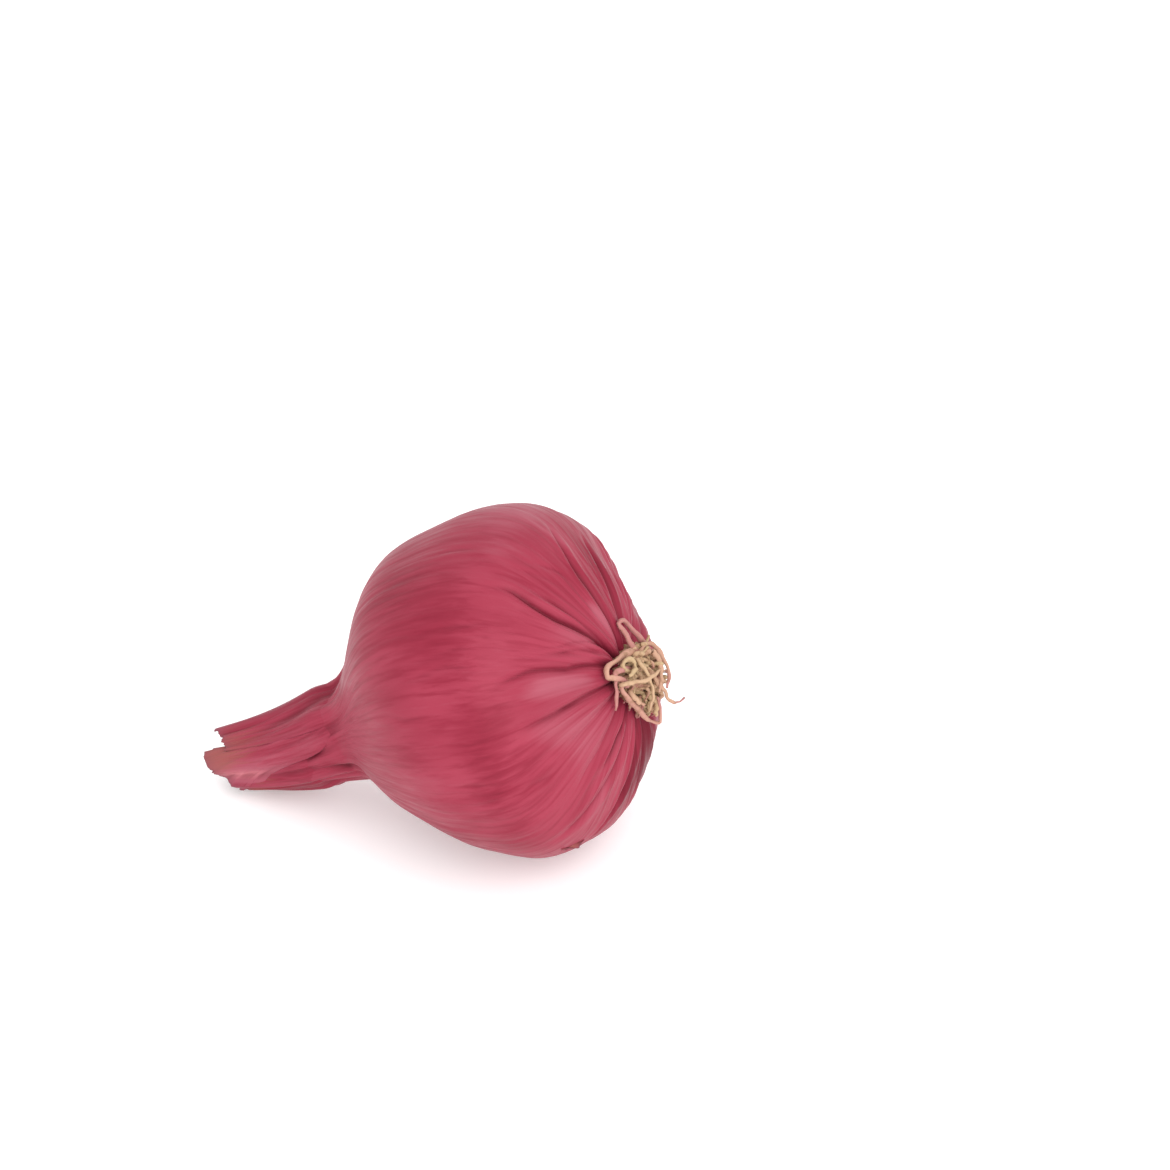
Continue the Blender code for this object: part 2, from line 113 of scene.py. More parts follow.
# Creases of the skin that show from the front: the angles and stations, in degrees and millimetres,
# of the points that each runs through, then its width and depth in millimetres and how dark the
# painted shade along its bottom is
SHOWN_CREASES = [
    ([(93.0, 0.9), (90.0, 4.8), (83.0, 8.0), (77.0, 12.0)], 1.0, 0.60, 0.80),
    ([(117.0, 1.0), (113.5, 5.3), (112.5, 9.5)], 0.8, 0.40, 0.45),
    ([(120.0, 1.0), (120.5, 5.4), (117.5, 12.0), (116.5, 16.0)], 1.0, 0.90, 1.0),
    ([(120.0, 0.8), (134.5, 4.6), (138.0, 9.0)], 0.6, 0.25, 0.30),
    ([(127.0, 0.8), (138.0, 4.6), (141.0, 8.0)], 0.7, 0.30, 0.38),
    ([(138.5, 0.8), (145.0, 3.9), (147.0, 8.6), (151.5, 15.5)], 1.0, 0.60, 0.70),
    ([(161.5, 0.8), (163.0, 2.8), (165.5, 5.4), (169.5, 12.5)], 1.1, 0.65, 0.60),
    ([(178.0, 0.8), (181.0, 3.0), (183.0, 6.0)], 1.2, 0.35, 0.15),
    ([(197.0, 0.8), (202.0, 3.0), (205.0, 6.5)], 1.4, 0.45, 0.20),
    ([(215.0, 0.4), (211.5, 1.6), (213.5, 4.0)], 1.0, 0.70, 0.90),
    ([(72.0, 0.8), (66.0, 4.0), (60.0, 9.0)], 1.1, 0.70, 0.60),
    ([(103.0, 30.0), (102.0, 26.0), (103.0, 20.5)], 0.8, 0.14, 0.55),
    ([(132.5, 29.0), (132.0, 24.0), (130.0, 14.5)], 1.0, 0.24, 0.55),
    ([(140.5, 29.5), (139.0, 22.0), (140.0, 15.5)], 0.8, 0.16, 0.42),
    ([(146.5, 31.0), (144.5, 25.0), (144.0, 16.5)], 1.0, 0.24, 0.50),
    ([(156.0, 39.0), (159.0, 33.0), (158.5, 26.0)], 0.9, 0.20, 0.42),
    ([(102.5, 11.5), (97.0, 6.5), (96.0, 4.0)], 0.8, 0.20, 0.40),
    ([(107.5, 13.0), (105.0, 8.0), (104.0, 4.5)], 0.7, 0.14, 0.30),
    ([(173.0, 25.0), (174.0, 20.0), (172.5, 14.0)], 0.9, 0.12, 0.30),
    ([(184.0, 30.0), (183.0, 24.0), (186.0, 17.0)], 0.9, 0.12, 0.30),
    ([(190.0, 13.6), (190.5, 9.8), (190.0, 6.9)], 1.0, 0.22, 0.42),
    ([(187.0, 64.0), (193.5, 60.8), (203.5, 57.5)], 1.3, 0.22, 0.60),
    # A groove under the free edge of the neck's wrap, its dark line a painted shadow of that edge
    (
        [(151.5, 51.5), (154.5, 58.0), (155.8, 60.7), (162.0, 63.9), (169.0, 66.8), (174.0, 71.0)],
        1.6, 0.50, 1.0,
    ),
]

# Creases of the far side, seeded: how many, and the angles that they spread over
FAR_CREASES = 11
FAR_FROM_DEG = 228.0
FAR_SPAN_DEG = 190.0

# Short creases over the whole belly, seeded
SHORT_CREASES = 46

# How far a crease waves from side to side, and over what length it starts to
CREASE_WAVE = 0.22 * MM
CREASE_WAVE_STARTS = 5.0 * MM

# Tone of the skin: angle and station, spreads in degrees and millimetres, and how much darker (+)
# or paler (-) it is. Most is the skin's own colour; the entries marked below are painted shade or a
# painted highlight.
TONES = [
    (88.0, 3.6, 10.0, 4.5, 0.94),
    # Painted shade on the upper side near the root pole, where the skin turns from the light
    (66.0, 4.8, 12.0, 4.5, 1.53),
    (105.0, 6.5, 9.0, 4.5, 0.53),
    (117.0, 30.5, 20.0, 9.0, 0.89),
    (136.0, 25.0, 14.0, 7.0, 0.59),
    (161.0, 19.0, 12.0, 7.0, 0.89),
    (182.0, 19.5, 14.0, 6.0, 1.12),
    (187.0, 10.5, 9.0, 3.5, 0.65),
    (212.0, 22.0, 16.0, 9.0, 0.53),
    (150.0, 57.0, 18.0, 5.0, 0.47),
    (100.0, 59.0, 16.0, 7.0, 1.00),
    # Painted shadow below the free edge of the neck's wrap
    (192.0, 60.5, 9.0, 3.5, 1.20),
    # These two paint the shade on the skin below the root tuft
    (271.0, 3.0, 23.0, 4.8, 2.80),
    (246.0, 6.0, 8.0, 6.0, 1.30),
    # Painted shade in the dimple beside the root tuft, where the creases gather
    (142.0, 0.9, 16.0, 0.9, 1.06),
    (99.0, 2.0, 7.0, 1.5, -1.30),
    (80.0, 7.5, 4.5, 4.0, -0.71),
    (127.0, 3.5, 5.0, 3.0, -0.53),
    (153.0, 5.0, 6.0, 4.5, -1.00),
    (174.0, 6.5, 8.0, 4.5, -0.71),
    # These two paint a highlight low on the root end
    (191.0, 3.6, 14.0, 3.0, -0.59),
    (226.0, 6.5, 12.0, 5.0, -0.41),
    (82.0, 18.0, 24.0, 7.0, -0.65),
    (108.0, 36.0, 18.0, 6.0, 0.55),
    (139.0, 43.0, 20.0, 5.0, 0.41),
    (196.0, 30.0, 16.0, 6.0, -0.29),
    (226.0, 42.0, 26.0, 10.0, 0.94),
    (241.0, 51.0, 24.0, 8.0, 1.30),
    (162.0, 14.0, 9.0, 4.0, 0.15),
    # Painted shadow below the free edge of the neck's wrap
    (184.0, 64.5, 9.0, 3.0, 0.90),
    (180.0, 84.0, 13.0, 9.0, -2.10),
    (90.0, 74.0, 8.0, 14.0, 1.00),
]

# Folds of the neck: angle and its drift in degrees per millimetre past the neck's base, then depth
# and width in millimetres
NECK_FOLDS = [
    (104.0, 0.9, 1.1, 3.0),
    (143.0, 0.3, 0.5, 2.2),
    (172.0, 0.6, 0.5, 2.2),
    (194.0, -0.6, 0.35, 2.2),
    (224.0, 0.3, 0.5, 3.0),
    (262.0, -0.5, 0.9, 3.0),
    (310.0, 0.4, 1.3, 3.0),
    (352.0, 0.8, 1.2, 2.8),
    (40.0, -0.6, 1.2, 3.0),
    (72.0, -0.3, 0.9, 2.6),
]

# The hollow that the neck's end turns in to: for each of its rings, the share that it keeps of the
# end's size, and how deep it lies in millimetres. Then the tone that paints shade in the hollow, which
# also takes the creases' full painted shade, and how dry the hollow is.
HOLLOW_RINGS = [(0.93, -0.2), (0.82, 0.3), (0.7, 1.6), (0.6, 3.4), (0.5, 5.0)]
HOLLOW_SHADE_TONE = 0.5
HOLLOW_DRYNESS = 0.7


class NeckLeaf(NamedTuple):
    """A dry leaf round the neck, with its angles in degrees and its lengths in millimetres.

    Each edge has an angle at four even steps along it. A pair holds the value at the first edge and
    the one at the last edge. A curl is outwards if it is more than 0.
    """

    first_edge: tuple
    last_edge: tuple
    begins: float
    ends: tuple
    lift: float
    lean: float
    curls: tuple
    dryness: tuple
    rims: tuple
    tone: float


NECK_LEAVES = [
    NeckLeaf(
        first_edge=(164, 166, 172, 180), last_edge=(262, 262, 262, 262), begins=63.0, ends=(86.5, 84.5),
        lift=0.25, lean=0.0, curls=(0.0, 0.1), dryness=(0.85, 0.70), rims=(0.2, 0.3), tone=1.2,
    ),
    NeckLeaf(
        first_edge=(240, 234, 228, 222), last_edge=(318, 311, 303, 296), begins=63.0, ends=(80.5, 81.5),
        lift=0.2, lean=0.0, curls=(-0.3, 0.3), dryness=(0.65, 0.65), rims=(0.5, 0.5), tone=0.4,
    ),
    NeckLeaf(
        first_edge=(350, 351, 352, 352), last_edge=(425, 424, 422, 420), begins=63.0, ends=(89.0, 87.5),
        lift=0.5, lean=0.4, curls=(0.2, -0.2), dryness=(0.60, 0.60), rims=(0.5, 0.5), tone=0.2,
    ),
    NeckLeaf(
        first_edge=(288, 287, 287, 286), last_edge=(372, 368, 364, 360), begins=66.0, ends=(86.0, 90.0),
        lift=0.8, lean=-0.2, curls=(0.4, -0.1), dryness=(0.70, 0.70), rims=(0.5, 0.5), tone=0.0,
    ),
    NeckLeaf(
        first_edge=(110, 114, 118, 122), last_edge=(113, 167, 177.5, 245), begins=53.0, ends=(93.5, 86.5),
        lift=0.6, lean=-0.2, curls=(-0.2, 0.0), dryness=(1.00, 0.10), rims=(0.2, 0.15), tone=-0.3,
    ),
    NeckLeaf(
        first_edge=(66, 69, 73, 76), last_edge=(147, 143, 139, 134), begins=53.0, ends=(91.0, 87.0),
        lift=1.0, lean=0.0, curls=(0.5, 0.0), dryness=(0.40, 0.75), rims=(1.0, 0.30), tone=0.5,
    ),
]

# Ridges along a dry leaf: how many waves lie across it, and each one's share of the ridges' height
LEAF_RIDGES = [(5.0, 0.9), (9.0, 0.55), (17.0, 0.3)]

# How deep a leaf's end is torn, and how far the leaves stay over the table
TORN_DEPTH = 1.3 * MM
LEAF_TABLE_GAP = 0.02 * MM

# The innermost leaf, rolled up: its turns, where it begins and ends, its radius, how far and towards
# what angle it lies from the neck's middle, and its tone
ROLLED_LEAF_TURNS = 1.7
ROLLED_LEAF_BEGINS = 72.0 * MM
ROLLED_LEAF_ENDS = 92.2 * MM
ROLLED_LEAF_RADIUS = 3.5 * MM
ROLLED_LEAF_OFFSET = 1.2 * MM
ROLLED_LEAF_ANGLE_DEG = 150.0
ROLLED_LEAF_TONE = 0.3

# The torn flake low on the root end: its first corner, its size, and the rise of its free edge
FLAKE_STATION = 12.4 * MM
FLAKE_ANGLE_DEG = 234.5
FLAKE_LENGTH = 3.4 * MM
FLAKE_WIDTH_DEG = 3.0
FLAKE_RISE = 0.5 * MM
FLAKE_THICKNESS = 0.2 * MM

# The rings of the stem plate's skirt: the share of its radius that each keeps, and its depth in
# millimetres
PLATE_SKIRT = [(1.0, 0.3), (0.99, 0.9), (0.96, 1.5)]

# The scars of lost roots on the stem plate, seeded
PLATE_SCARS = 90
SCAR_RADIUS = 0.42 * MM

# The turn from each seeded scar or strand to the next, which spreads them evenly over the plate
GOLDEN_ANGLE = math.radians(137.5)

# Strands that lie clear of the others. Each runs through listed points: how far across and down
# the photograph, in its pixels, and how far out of the root pole, in millimetres.
# Then how thick it is, its tone as in the seeded ones, and how pink it is.
SHOWN_STRANDS = [
    (
        [
            (641, 668, -1.2), (637, 655, 0.8), (628, 640, 0.6), (619.5, 625, -0.3),
            (624, 622, -0.2), (634, 632, 0.4), (646, 645, 1.2), (652, 656, 1.2),
        ],
        1.15, 0.30, 0.90,
    ),
    (
        [
            (640, 662, -1.2), (634, 652, 0.8), (624, 655, 0.6), (612, 663, 0.0),
            (605.5, 670, -0.4), (609, 677, 0.0), (618, 677, 1.0), (628, 681, 1.8),
        ],
        1.20, 0.30, 0.45,
    ),
    (
        [
            (634, 668, -1.0), (626, 668, 1.2), (617.5, 671, 1.0),
            (616, 680, 0.6), (616.5, 694, 0.2), (615, 708, -0.3),
        ],
        0.95, 0.20, 0.90,
    ),
    (
        [
            (634, 672, -1.0), (624, 678, 1.2), (622, 688, 1.4), (630, 700, 1.8), (642, 712, 2.2),
            (652, 721, 2.6), (659, 721, 3.6), (660, 710, 4.4), (657, 696, 4.6),
        ],
        0.90, 0.30, 0.60,
    ),
    (
        [
            (642, 668, -1.0), (650, 672, 3.2), (658, 681, 4.6), (664, 690, 5.4),
            (668, 699, 6.0), (675, 702, 6.4), (683, 698, 6.8),
        ],
        0.95, 0.10, 0.25,
    ),
    (
        [
            (638, 662, -1.2), (640, 652, 1.5), (649, 644, 2.4), (657, 650, 3.6),
            (664, 661, 4.8), (668, 674, 5.6), (666, 687, 6.0),
        ],
        1.00, 0.30, 0.40,
    ),
    (
        [
            (642, 664, -1.0), (645, 654, 2.4), (652, 652, 3.4),
            (659, 663, 4.6), (661, 677, 5.2), (658, 691, 5.2),
        ],
        1.00, 0.50, 0.30,
    ),
    (
        [
            (636, 668, -1.0), (627, 671, 1.4), (622, 665, 1.5), (627, 660, 1.8),
            (634, 662, 2.4), (635, 670, 2.8), (629, 675, 2.8),
        ],
        1.00, 0.80, 0.00,
    ),
    (
        [
            (634, 664, -1.0), (637, 660, 2.2), (643, 668, 3.6),
            (651, 681, 4.6), (652, 695, 4.6), (648, 709, 4.0),
        ],
        1.00, 0.60, 0.00,
    ),
    (
        [
            (630, 676, -1.0), (621, 684, 1.2), (630, 681, 2.8),
            (641, 680, 4.0), (653, 675, 5.0), (660, 668, 5.4),
        ],
        1.00, 0.60, 0.10,
    ),
    (
        [(633, 680, -1.2), (630, 690, 1.6), (636, 699, 2.8), (643, 703, 3.4)],
        1.00, 0.50, 0.20,
    ),
    (
        [(645, 680, -1.0), (650, 690, 2.8), (656, 703, 3.8), (655, 715, 3.8)],
        1.00, 0.70, 0.00,
    ),
]

# Where the root pole is in the photograph, in pixels across and down, and how many pixels across and
# down a millimetre sideways, upwards and out of the pole takes up there
PHOTO_POLE = np.array([636.6, 673.4])
PHOTO_SIDEWAYS = np.array([2.07, -2.71])
PHOTO_UPWARDS = np.array([-1.67, -4.60])
PHOTO_OUT = np.array([4.66, -0.45])

# Sides of the clump that the seeded strands keep inside: a direction, sideways and upwards, and the
# furthest that they reach along it and how much less some of them reach, in millimetres
CLUMP_SIDES = [
    (-0.864, -0.504, 7.4, 1.8),
    (0.600, -0.800, 4.8, 1.4),
]
CLUMP_SOFTNESS = 0.8 * MM

# How far a strand is shaken out of line, its gap over the skin, and its knots' and flutes' share
# of its radius
STRAND_SHAKE = 0.16 * MM
STRAND_GAP = 0.3 * MM
KNOT_SHARE = 0.17
FLUTE_SHARE = 0.17

# Mesh fineness, as rows along a piece and columns across or round it
SKIN_COLUMNS = 600
ROOT_END_ROWS = 62
SHOULDER_ROWS = 58
NECK_ROWS = 30
FIRST_RING_SHARE = 0.12
LEAF_GRID = (90, 64)
ROLLED_LEAF_GRID = (60, 90)
FLAKE_GRID = (26, 22)
PLATE_GRID = (44, 120)
STRAND_GRID = (26, 9)

# The skin's noise, as stretches across the fibres, twice, and along them
FINE_STREAKS = (60.0, 60.0, 6.0)
STREAKS = (34.0, 34.0, 4.2)
BROAD_STREAKS = (7.0, 7.0, 1.5)
BLOTCHES = (1.6, 1.6, 1.4)

# The camera: its directions from the belly's middle, its distance, and how far across the picture
# the middle of the view lies from the belly's
SENSOR_WIDTH_MM = 36.0
CAMERA_TURN_DEG = 15.1
CAMERA_HEIGHT_DEG = 30.4
CAMERA_DISTANCE = 0.62
AIM_RIGHT = 14.32 * MM
AIM_UP = 18.39 * MM

# The key light's place and side, in metres
KEY_PLACE = (0.42, -0.55, 0.50)
KEY_SIDE = 0.8

# The floor: its corners, half its width, its drop below the onion so that they don't touch, and the
# glow that lights it from below a little, as on a light table
FLOOR_CORNERS = [(-1, -1), (1, -1), (1, 1), (-1, 1)]
FLOOR_HALF = 2.0
FLOOR_DROP = 0.05 * MM
FLOOR_GLOW = 0.25


class SkinSettings(bpy.types.PropertyGroup):
    """Sizes and colours of the bulb's papery skin."""

    wrinkle_count: bpy.props.IntProperty(
        name="Fine wrinkles",
        description="How many fine wrinkles run into the root end between the pleats",
        default=74,
        min=0,
    )
    wrinkle_depth: bpy.props.FloatProperty(
        name="Wrinkle depth",
        description="Depth of the deepest fine wrinkles",
        default=0.15 * MM,
        unit="LENGTH",
    )
    swell_height: bpy.props.FloatProperty(
        name="Swell height",
        description="Height of the broad soft ridges that run from root to neck",
        default=0.12 * MM,
        unit="LENGTH",
    )
    vein_height: bpy.props.FloatProperty(
        name="Vein height",
        description="Height of the fine veins in the skin",
        default=0.03 * MM,
        unit="LENGTH",
    )
    base_colour: bpy.props.FloatVectorProperty(
        name="Skin colour",
        description="Colour of the skin between its darker streaks",
        subtype="COLOR",
        default=(0.307, 0.033, 0.062),
    )
    # Also paints shade, where the tone is raised below the root tuft and the neck's wrap
    streak_and_shade_colour: bpy.props.FloatVectorProperty(
        name="Streak colour",
        description="Colour of the darker streaks along the fibres",
        subtype="COLOR",
        default=(0.226, 0.014, 0.034),
    )
    # Painted shade in the pleats, the folds, the neck's hollow and below the root tuft; the torn flake
    # darkens towards it too
    crease_shade_colour: bpy.props.FloatVectorProperty(
        name="Crease colour",
        description="Colour in the pleats and folds",
        subtype="COLOR",
        default=(0.118, 0.003, 0.013),
    )
    # Also the colour of painted highlights, on skin raised beside the folds and low on the root end
    pale_and_highlight_colour: bpy.props.FloatVectorProperty(
        name="Pale colour",
        description="Colour where the outer skin has dried pale, on the shoulder and along its veins",
        subtype="COLOR",
        default=(0.355, 0.086, 0.120),
    )
    bleached_colour: bpy.props.FloatVectorProperty(
        name="Bleached colour",
        description="Colour of the palest strip, along the free edge of the neck's wrap",
        subtype="COLOR",
        default=(0.56, 0.17, 0.20),
    )


class NeckSettings(bpy.types.PropertyGroup):
    """Sizes and colours of the dry leaves round the neck."""

    leaf_thickness: bpy.props.FloatProperty(
        name="Leaf thickness",
        description="Thickness of a dry leaf",
        default=0.28 * MM,
        unit="LENGTH",
    )
    ridge_height: bpy.props.FloatProperty(
        name="Ridge height",
        description="Height of the ridges along a dry leaf",
        default=0.08 * MM,
        unit="LENGTH",
    )
    dry_colour: bpy.props.FloatVectorProperty(
        name="Dry colour",
        description="Colour of the driest leaf ends",
        subtype="COLOR",
        default=(0.30, 0.088, 0.076),
    )
    edge_colour: bpy.props.FloatVectorProperty(
        name="Edge colour",
        description="Colour of the thin edges",
        subtype="COLOR",
        default=(0.20, 0.055, 0.085),
    )


class RootSettings(bpy.types.PropertyGroup):
    """Sizes and colours of the stem plate and its roots."""

    strand_count: bpy.props.IntProperty(
        name="Strands",
        description="How many seeded strands grow out of the stem plate",
        default=190,
        min=1,
    )
    strand_radius: bpy.props.FloatProperty(
        name="Strand radius",
        description="Radius of a strand where it grows out of the plate",
        default=0.44 * MM,
        unit="LENGTH",
    )
    straw_colour: bpy.props.FloatVectorProperty(
        name="Straw colour",
        description="Colour of the dry strands",
        subtype="COLOR",
        default=(0.51, 0.325, 0.20),
    )
    tip_colour: bpy.props.FloatVectorProperty(
        name="Pinkish colour",
        description="Colour of the pinkish strands and strand tips",
        subtype="COLOR",
        default=(0.41, 0.155, 0.15),
    )
    greenish_colour: bpy.props.FloatVectorProperty(
        name="Greenish colour",
        description="Colour of the strands that have dried greenish",
        subtype="COLOR",
        default=(0.44, 0.32, 0.17),
    )
    # Colour of the strands' mottling, and painted shade between the strands where they leave the plate
    mottle_and_shade_colour: bpy.props.FloatVectorProperty(
        name="Deep colour",
        description="Colour between the strands, at the plate",
        subtype="COLOR",
        default=(0.20, 0.10, 0.04),
    )


class StageSettings(bpy.types.PropertyGroup):
    """The floor, the light and the camera."""

    floor_colour: bpy.props.FloatVectorProperty(
        name="Floor colour",
        description="Colour of the floor",
        subtype="COLOR",
        default=(0.86, 0.86, 0.86),
    )
    key_power: bpy.props.FloatProperty(
        name="Key light",
        description="Power of the large soft light above the right of the camera",
        default=4.5,
        unit="POWER",
    )
    sky_strength: bpy.props.FloatProperty(
        name="Surrounding light",
        description="Strength of the even white light from all round",
        default=1.2,
    )
    lens: bpy.props.FloatProperty(
        name="Lens",
        description="Focal length of the camera in millimetres",
        default=102.3,
        unit="CAMERA",
    )


# Shape of the turned bulb


def ease(x):
    """0 below 0, 1 above 1, and the smooth step 3x^2 - 2x^3 between them."""
    x = np.clip(x, 0.0, 1.0)
    return x * x * (3.0 - 2.0 * x)


def profile(station):
    """Radius at each station: a superellipse cap, a raised cosine for the shoulder, a straight taper."""
    cap_share = 1.0 - np.abs(1.0 - station / ROOT_END_LENGTH) ** ROOT_END_SQUARENESS
    cap = BELLY_RADIUS * np.sqrt(np.clip(cap_share, 0.0, 1.0))
    past_belly = np.clip((station - ROOT_END_LENGTH) / SHOULDER_LENGTH, 0.0, 1.0)
    bell = (0.5 + 0.5 * np.cos(math.pi * past_belly**SHOULDER_FULLNESS)) ** SHOULDER_SHARPNESS
    down_neck = np.clip((station - NECK_BASE) / NECK_LENGTH, 0.0, 1.2)
    neck = NECK_BASE_RADIUS + (NECK_END_RADIUS - NECK_BASE_RADIUS) * down_neck
    return np.where(station < ROOT_END_LENGTH, cap, neck + (BELLY_RADIUS - NECK_BASE_RADIUS) * bell)


def spine_axes(station):
    """Unit vectors at each station: along the spine to the root end, to its side, and up across it.

    The slope is the body's tilt plus eased shares of the root end's, the shoulder's and the neck's.
    """
    root = ease((ROOT_END_LENGTH - station) / ROOT_END_LENGTH)
    shoulder = ease((station - 0.8 * ROOT_END_LENGTH) / SHOULDER_LENGTH)
    neck = ease((station - ROOT_END_LENGTH - 0.9 * SHOULDER_LENGTH) / NECK_LENGTH)
    slope = np.radians(
        BODY_TILT + ROOT_EXTRA_TILT * root + SHOULDER_DROOP * shoulder - NECK_EASE * neck
    )
    turned = math.radians(ROOT_END_TURN) * root
    out = np.stack(
        [np.cos(slope) * np.cos(turned), -np.sin(turned), np.sin(slope) * np.cos(turned)], -1
    )
    side = np.stack(
        [np.cos(slope) * np.sin(turned), np.cos(turned), np.sin(slope) * np.sin(turned)], -1
    )
    rise = np.stack([-np.sin(slope), np.zeros_like(slope), np.cos(slope)], -1)
    return out, side, rise


def spine(station):
    """Points of the spine, the belly's middle at the origin: its direction summed in small steps."""
    fine = np.linspace(0.0, NECK_BASE + 1.3 * NECK_LENGTH, 600)
    out = spine_axes(0.5 * (fine[1:] + fine[:-1]))[0]
    steps = -out * np.diff(fine)[:, None]
    line = np.concatenate([np.zeros((1, 3)), np.cumsum(steps, axis=0)])
    belly = [np.interp(ROOT_END_LENGTH, fine, line[:, i]) for i in range(3)]
    return np.stack([np.interp(station, fine, line[:, i]) - belly[i] for i in range(3)], -1)


def ring_directions(station, angle):
    """Unit directions across the spine: cosine of the angle sideways plus its sine upwards."""
    _, side, rise = spine_axes(station)
    return np.cos(angle)[..., None] * side + np.sin(angle)[..., None] * rise


def turn(angle, middle):
    """Angle from middle, between -pi and pi."""
    return (angle - middle + math.pi) % (2 * math.pi) - math.pi


def groove(x):
    """A crease one deep at 0 and about one wide, with the skin slightly puffed on both sides of it."""
    return np.exp(-x * x) - 0.4 * np.exp(-((np.abs(x) - 2.1) ** 2))


def sharp_crease(x):
    """A groove whose bottom is drawn in to a narrow line: half a wide bell and half a narrow peak."""
    wide = 0.62 * np.exp(-x * x)
    narrow = 0.55 * np.exp(-np.abs(x / 0.42) ** 1.4)
    return wide + narrow - 0.4 * np.exp(-((np.abs(x) - 2.1) ** 2))


def fan_out(station, column):
    """Angle of a fibre at each station: near the root pole it turns away from FAN_FROM_DEG."""
    far = FAN_LENGTH * np.tanh(station / FAN_LENGTH) / MM
    return column + np.radians(FAN_DEG_PER_MM * far) * np.sin(column - math.radians(FAN_FROM_DEG))


def fullness(station, angle):
    """Sum of smooth bells, round and along, where the bulb isn't quite round; none at the pole."""
    over = np.zeros(np.shape(station))
    for middle, place, height, round_deg, along in FULLNESS:
        round_share = turn(angle, math.radians(middle)) / math.radians(round_deg)
        along_share = (station - place * MM) / (along * MM)
        over = over + height * MM * np.exp(-(round_share**2) - along_share**2)
    return over * ease(profile(station) / FULLNESS_GROWN_RADIUS)


def noise_field(seed, rows, columns, along, across):
    """Seeded noise on a grid, seamless round it, with a spread of one.

    White noise is smoothed with a bell that is so many rows long and so many columns wide.
    """
    white = np.random.default_rng(seed).standard_normal((2 * rows, columns))
    row_waves = np.fft.fftfreq(2 * rows)[:, None]
    column_waves = np.fft.fftfreq(columns)[None, :]
    falls = (math.pi * row_waves * along) ** 2 + (math.pi * column_waves * across) ** 2
    field = np.fft.ifft2(np.fft.fft2(white) * np.exp(-2.0 * falls)).real[:rows]
    return (field - field.mean()) / field.std()


# Meshes


def new_piece(name, points, faces, material, attributes=None):
    """An object at the origin with a smooth mesh of these points, and arrays of quads and triangles.

    The enclosed volume, a sum of tetrahedra over the faces, says whether the faces point outwards;
    if it is negative every face is turned round.
    """
    flat = np.concatenate([np.asarray(f).ravel() for f in faces]).astype(np.int32)
    sizes = np.concatenate([np.full(len(f), np.shape(f)[1]) for f in faces])
    volume = 0.0
    for group in faces:
        corners = points[np.asarray(group)]
        for k in range(1, corners.shape[1] - 1):
            cross = np.cross(corners[:, k], corners[:, k + 1])
            volume += float((corners[:, 0] * cross).sum())
    if volume < 0.0:
        flat = np.concatenate([np.asarray(f)[:, ::-1].ravel() for f in faces]).astype(np.int32)
    mesh = bpy.data.meshes.new(name)
    mesh.vertices.add(len(points))
    mesh.vertices.foreach_set("co", np.ascontiguousarray(points, np.float32).ravel())
    mesh.loops.add(len(flat))
    mesh.loops.foreach_set("vertex_index", flat)
    mesh.polygons.add(len(sizes))
    starts = np.concatenate([[0], np.cumsum(sizes)[:-1]]).astype(np.int32)
    mesh.polygons.foreach_set("loop_start", starts)
    mesh.update(calc_edges=True)
    for label, values in (attributes or {}).items():
        values = np.asarray(values, np.float32)
        is_vector = values.ndim == 2
        made = mesh.attributes.new(label, "FLOAT_VECTOR" if is_vector else "FLOAT", "POINT")
        made.data.foreach_set("vector" if is_vector else "value", values.ravel())
    if mesh.validate():
        raise RuntimeError(f"{name} has faces that Blender had to mend")
    mesh.shade_smooth()
    mesh.materials.append(material)
    made = bpy.data.objects.new(name, mesh)
    bpy.context.scene.collection.objects.link(made)
    return made


def tube_faces(rows, columns):
    """Quads over rows of points that each close round, and triangles that close both ends.

    A quad is a point, the next one round, and those one row on. The two points after the rows are
    the ends' poles, and a triangle is a pole, a point of its end row and the next one round.
    """
    i, j = np.meshgrid(np.arange(rows - 1), np.arange(columns), indexing="ij")
    here = i * columns + j
    after = i * columns + (j + 1) % columns
    quads = np.stack([here, after, after + columns, here + columns], -1).reshape(-1, 4)
    pole = np.full(columns, rows * columns)
    first = np.arange(columns)
    second = (first + 1) % columns
    last_row = (rows - 1) * columns
    at_start = np.stack([pole, second, first], -1)
    at_end = np.stack([pole + 1, last_row + first, last_row + second], -1)
    return [quads, np.concatenate([at_start, at_end])]


def sheet_shares(rows, columns):
    """How far each point of a sheet's grid is across it and along it, from 0 to 1."""
    return np.meshgrid(np.linspace(0.0, 1.0, columns), np.linspace(0.0, 1.0, rows))


def sheet_quads(rows, columns):
    """Quads of a thin closed sheet: an outer grid, an inner one turned round, and the rim between."""
    i, j = np.meshgrid(np.arange(rows - 1), np.arange(columns - 1), indexing="ij")
    here = (i * columns + j).ravel()
    outer = np.stack([here, here + 1, here + columns + 1, here + columns], -1)
    under = rows * columns
    inner = under + outer[:, ::-1]
    top = np.arange(columns)
    right = np.arange(1, rows) * columns + columns - 1
    bottom = (rows - 1) * columns + np.arange(columns - 2, -1, -1)
    left = np.arange(rows - 2, 0, -1) * columns
    rim = np.concatenate([top, right, bottom, left])
    after = np.roll(rim, -1)
    edge = np.stack([rim, under + rim, under + after, after], -1)
    return np.concatenate([outer, inner, edge])


def unit(vectors):
    """The vectors brought to a length of one."""
    return vectors / (np.linalg.norm(vectors, axis=-1, keepdims=True) + 1e-15)


def facing(vectors, outwards):
    """The vectors, turned round where they point against outwards."""
    return vectors * np.where((vectors * outwards).sum(-1, keepdims=True) < 0.0, -1.0, 1.0)


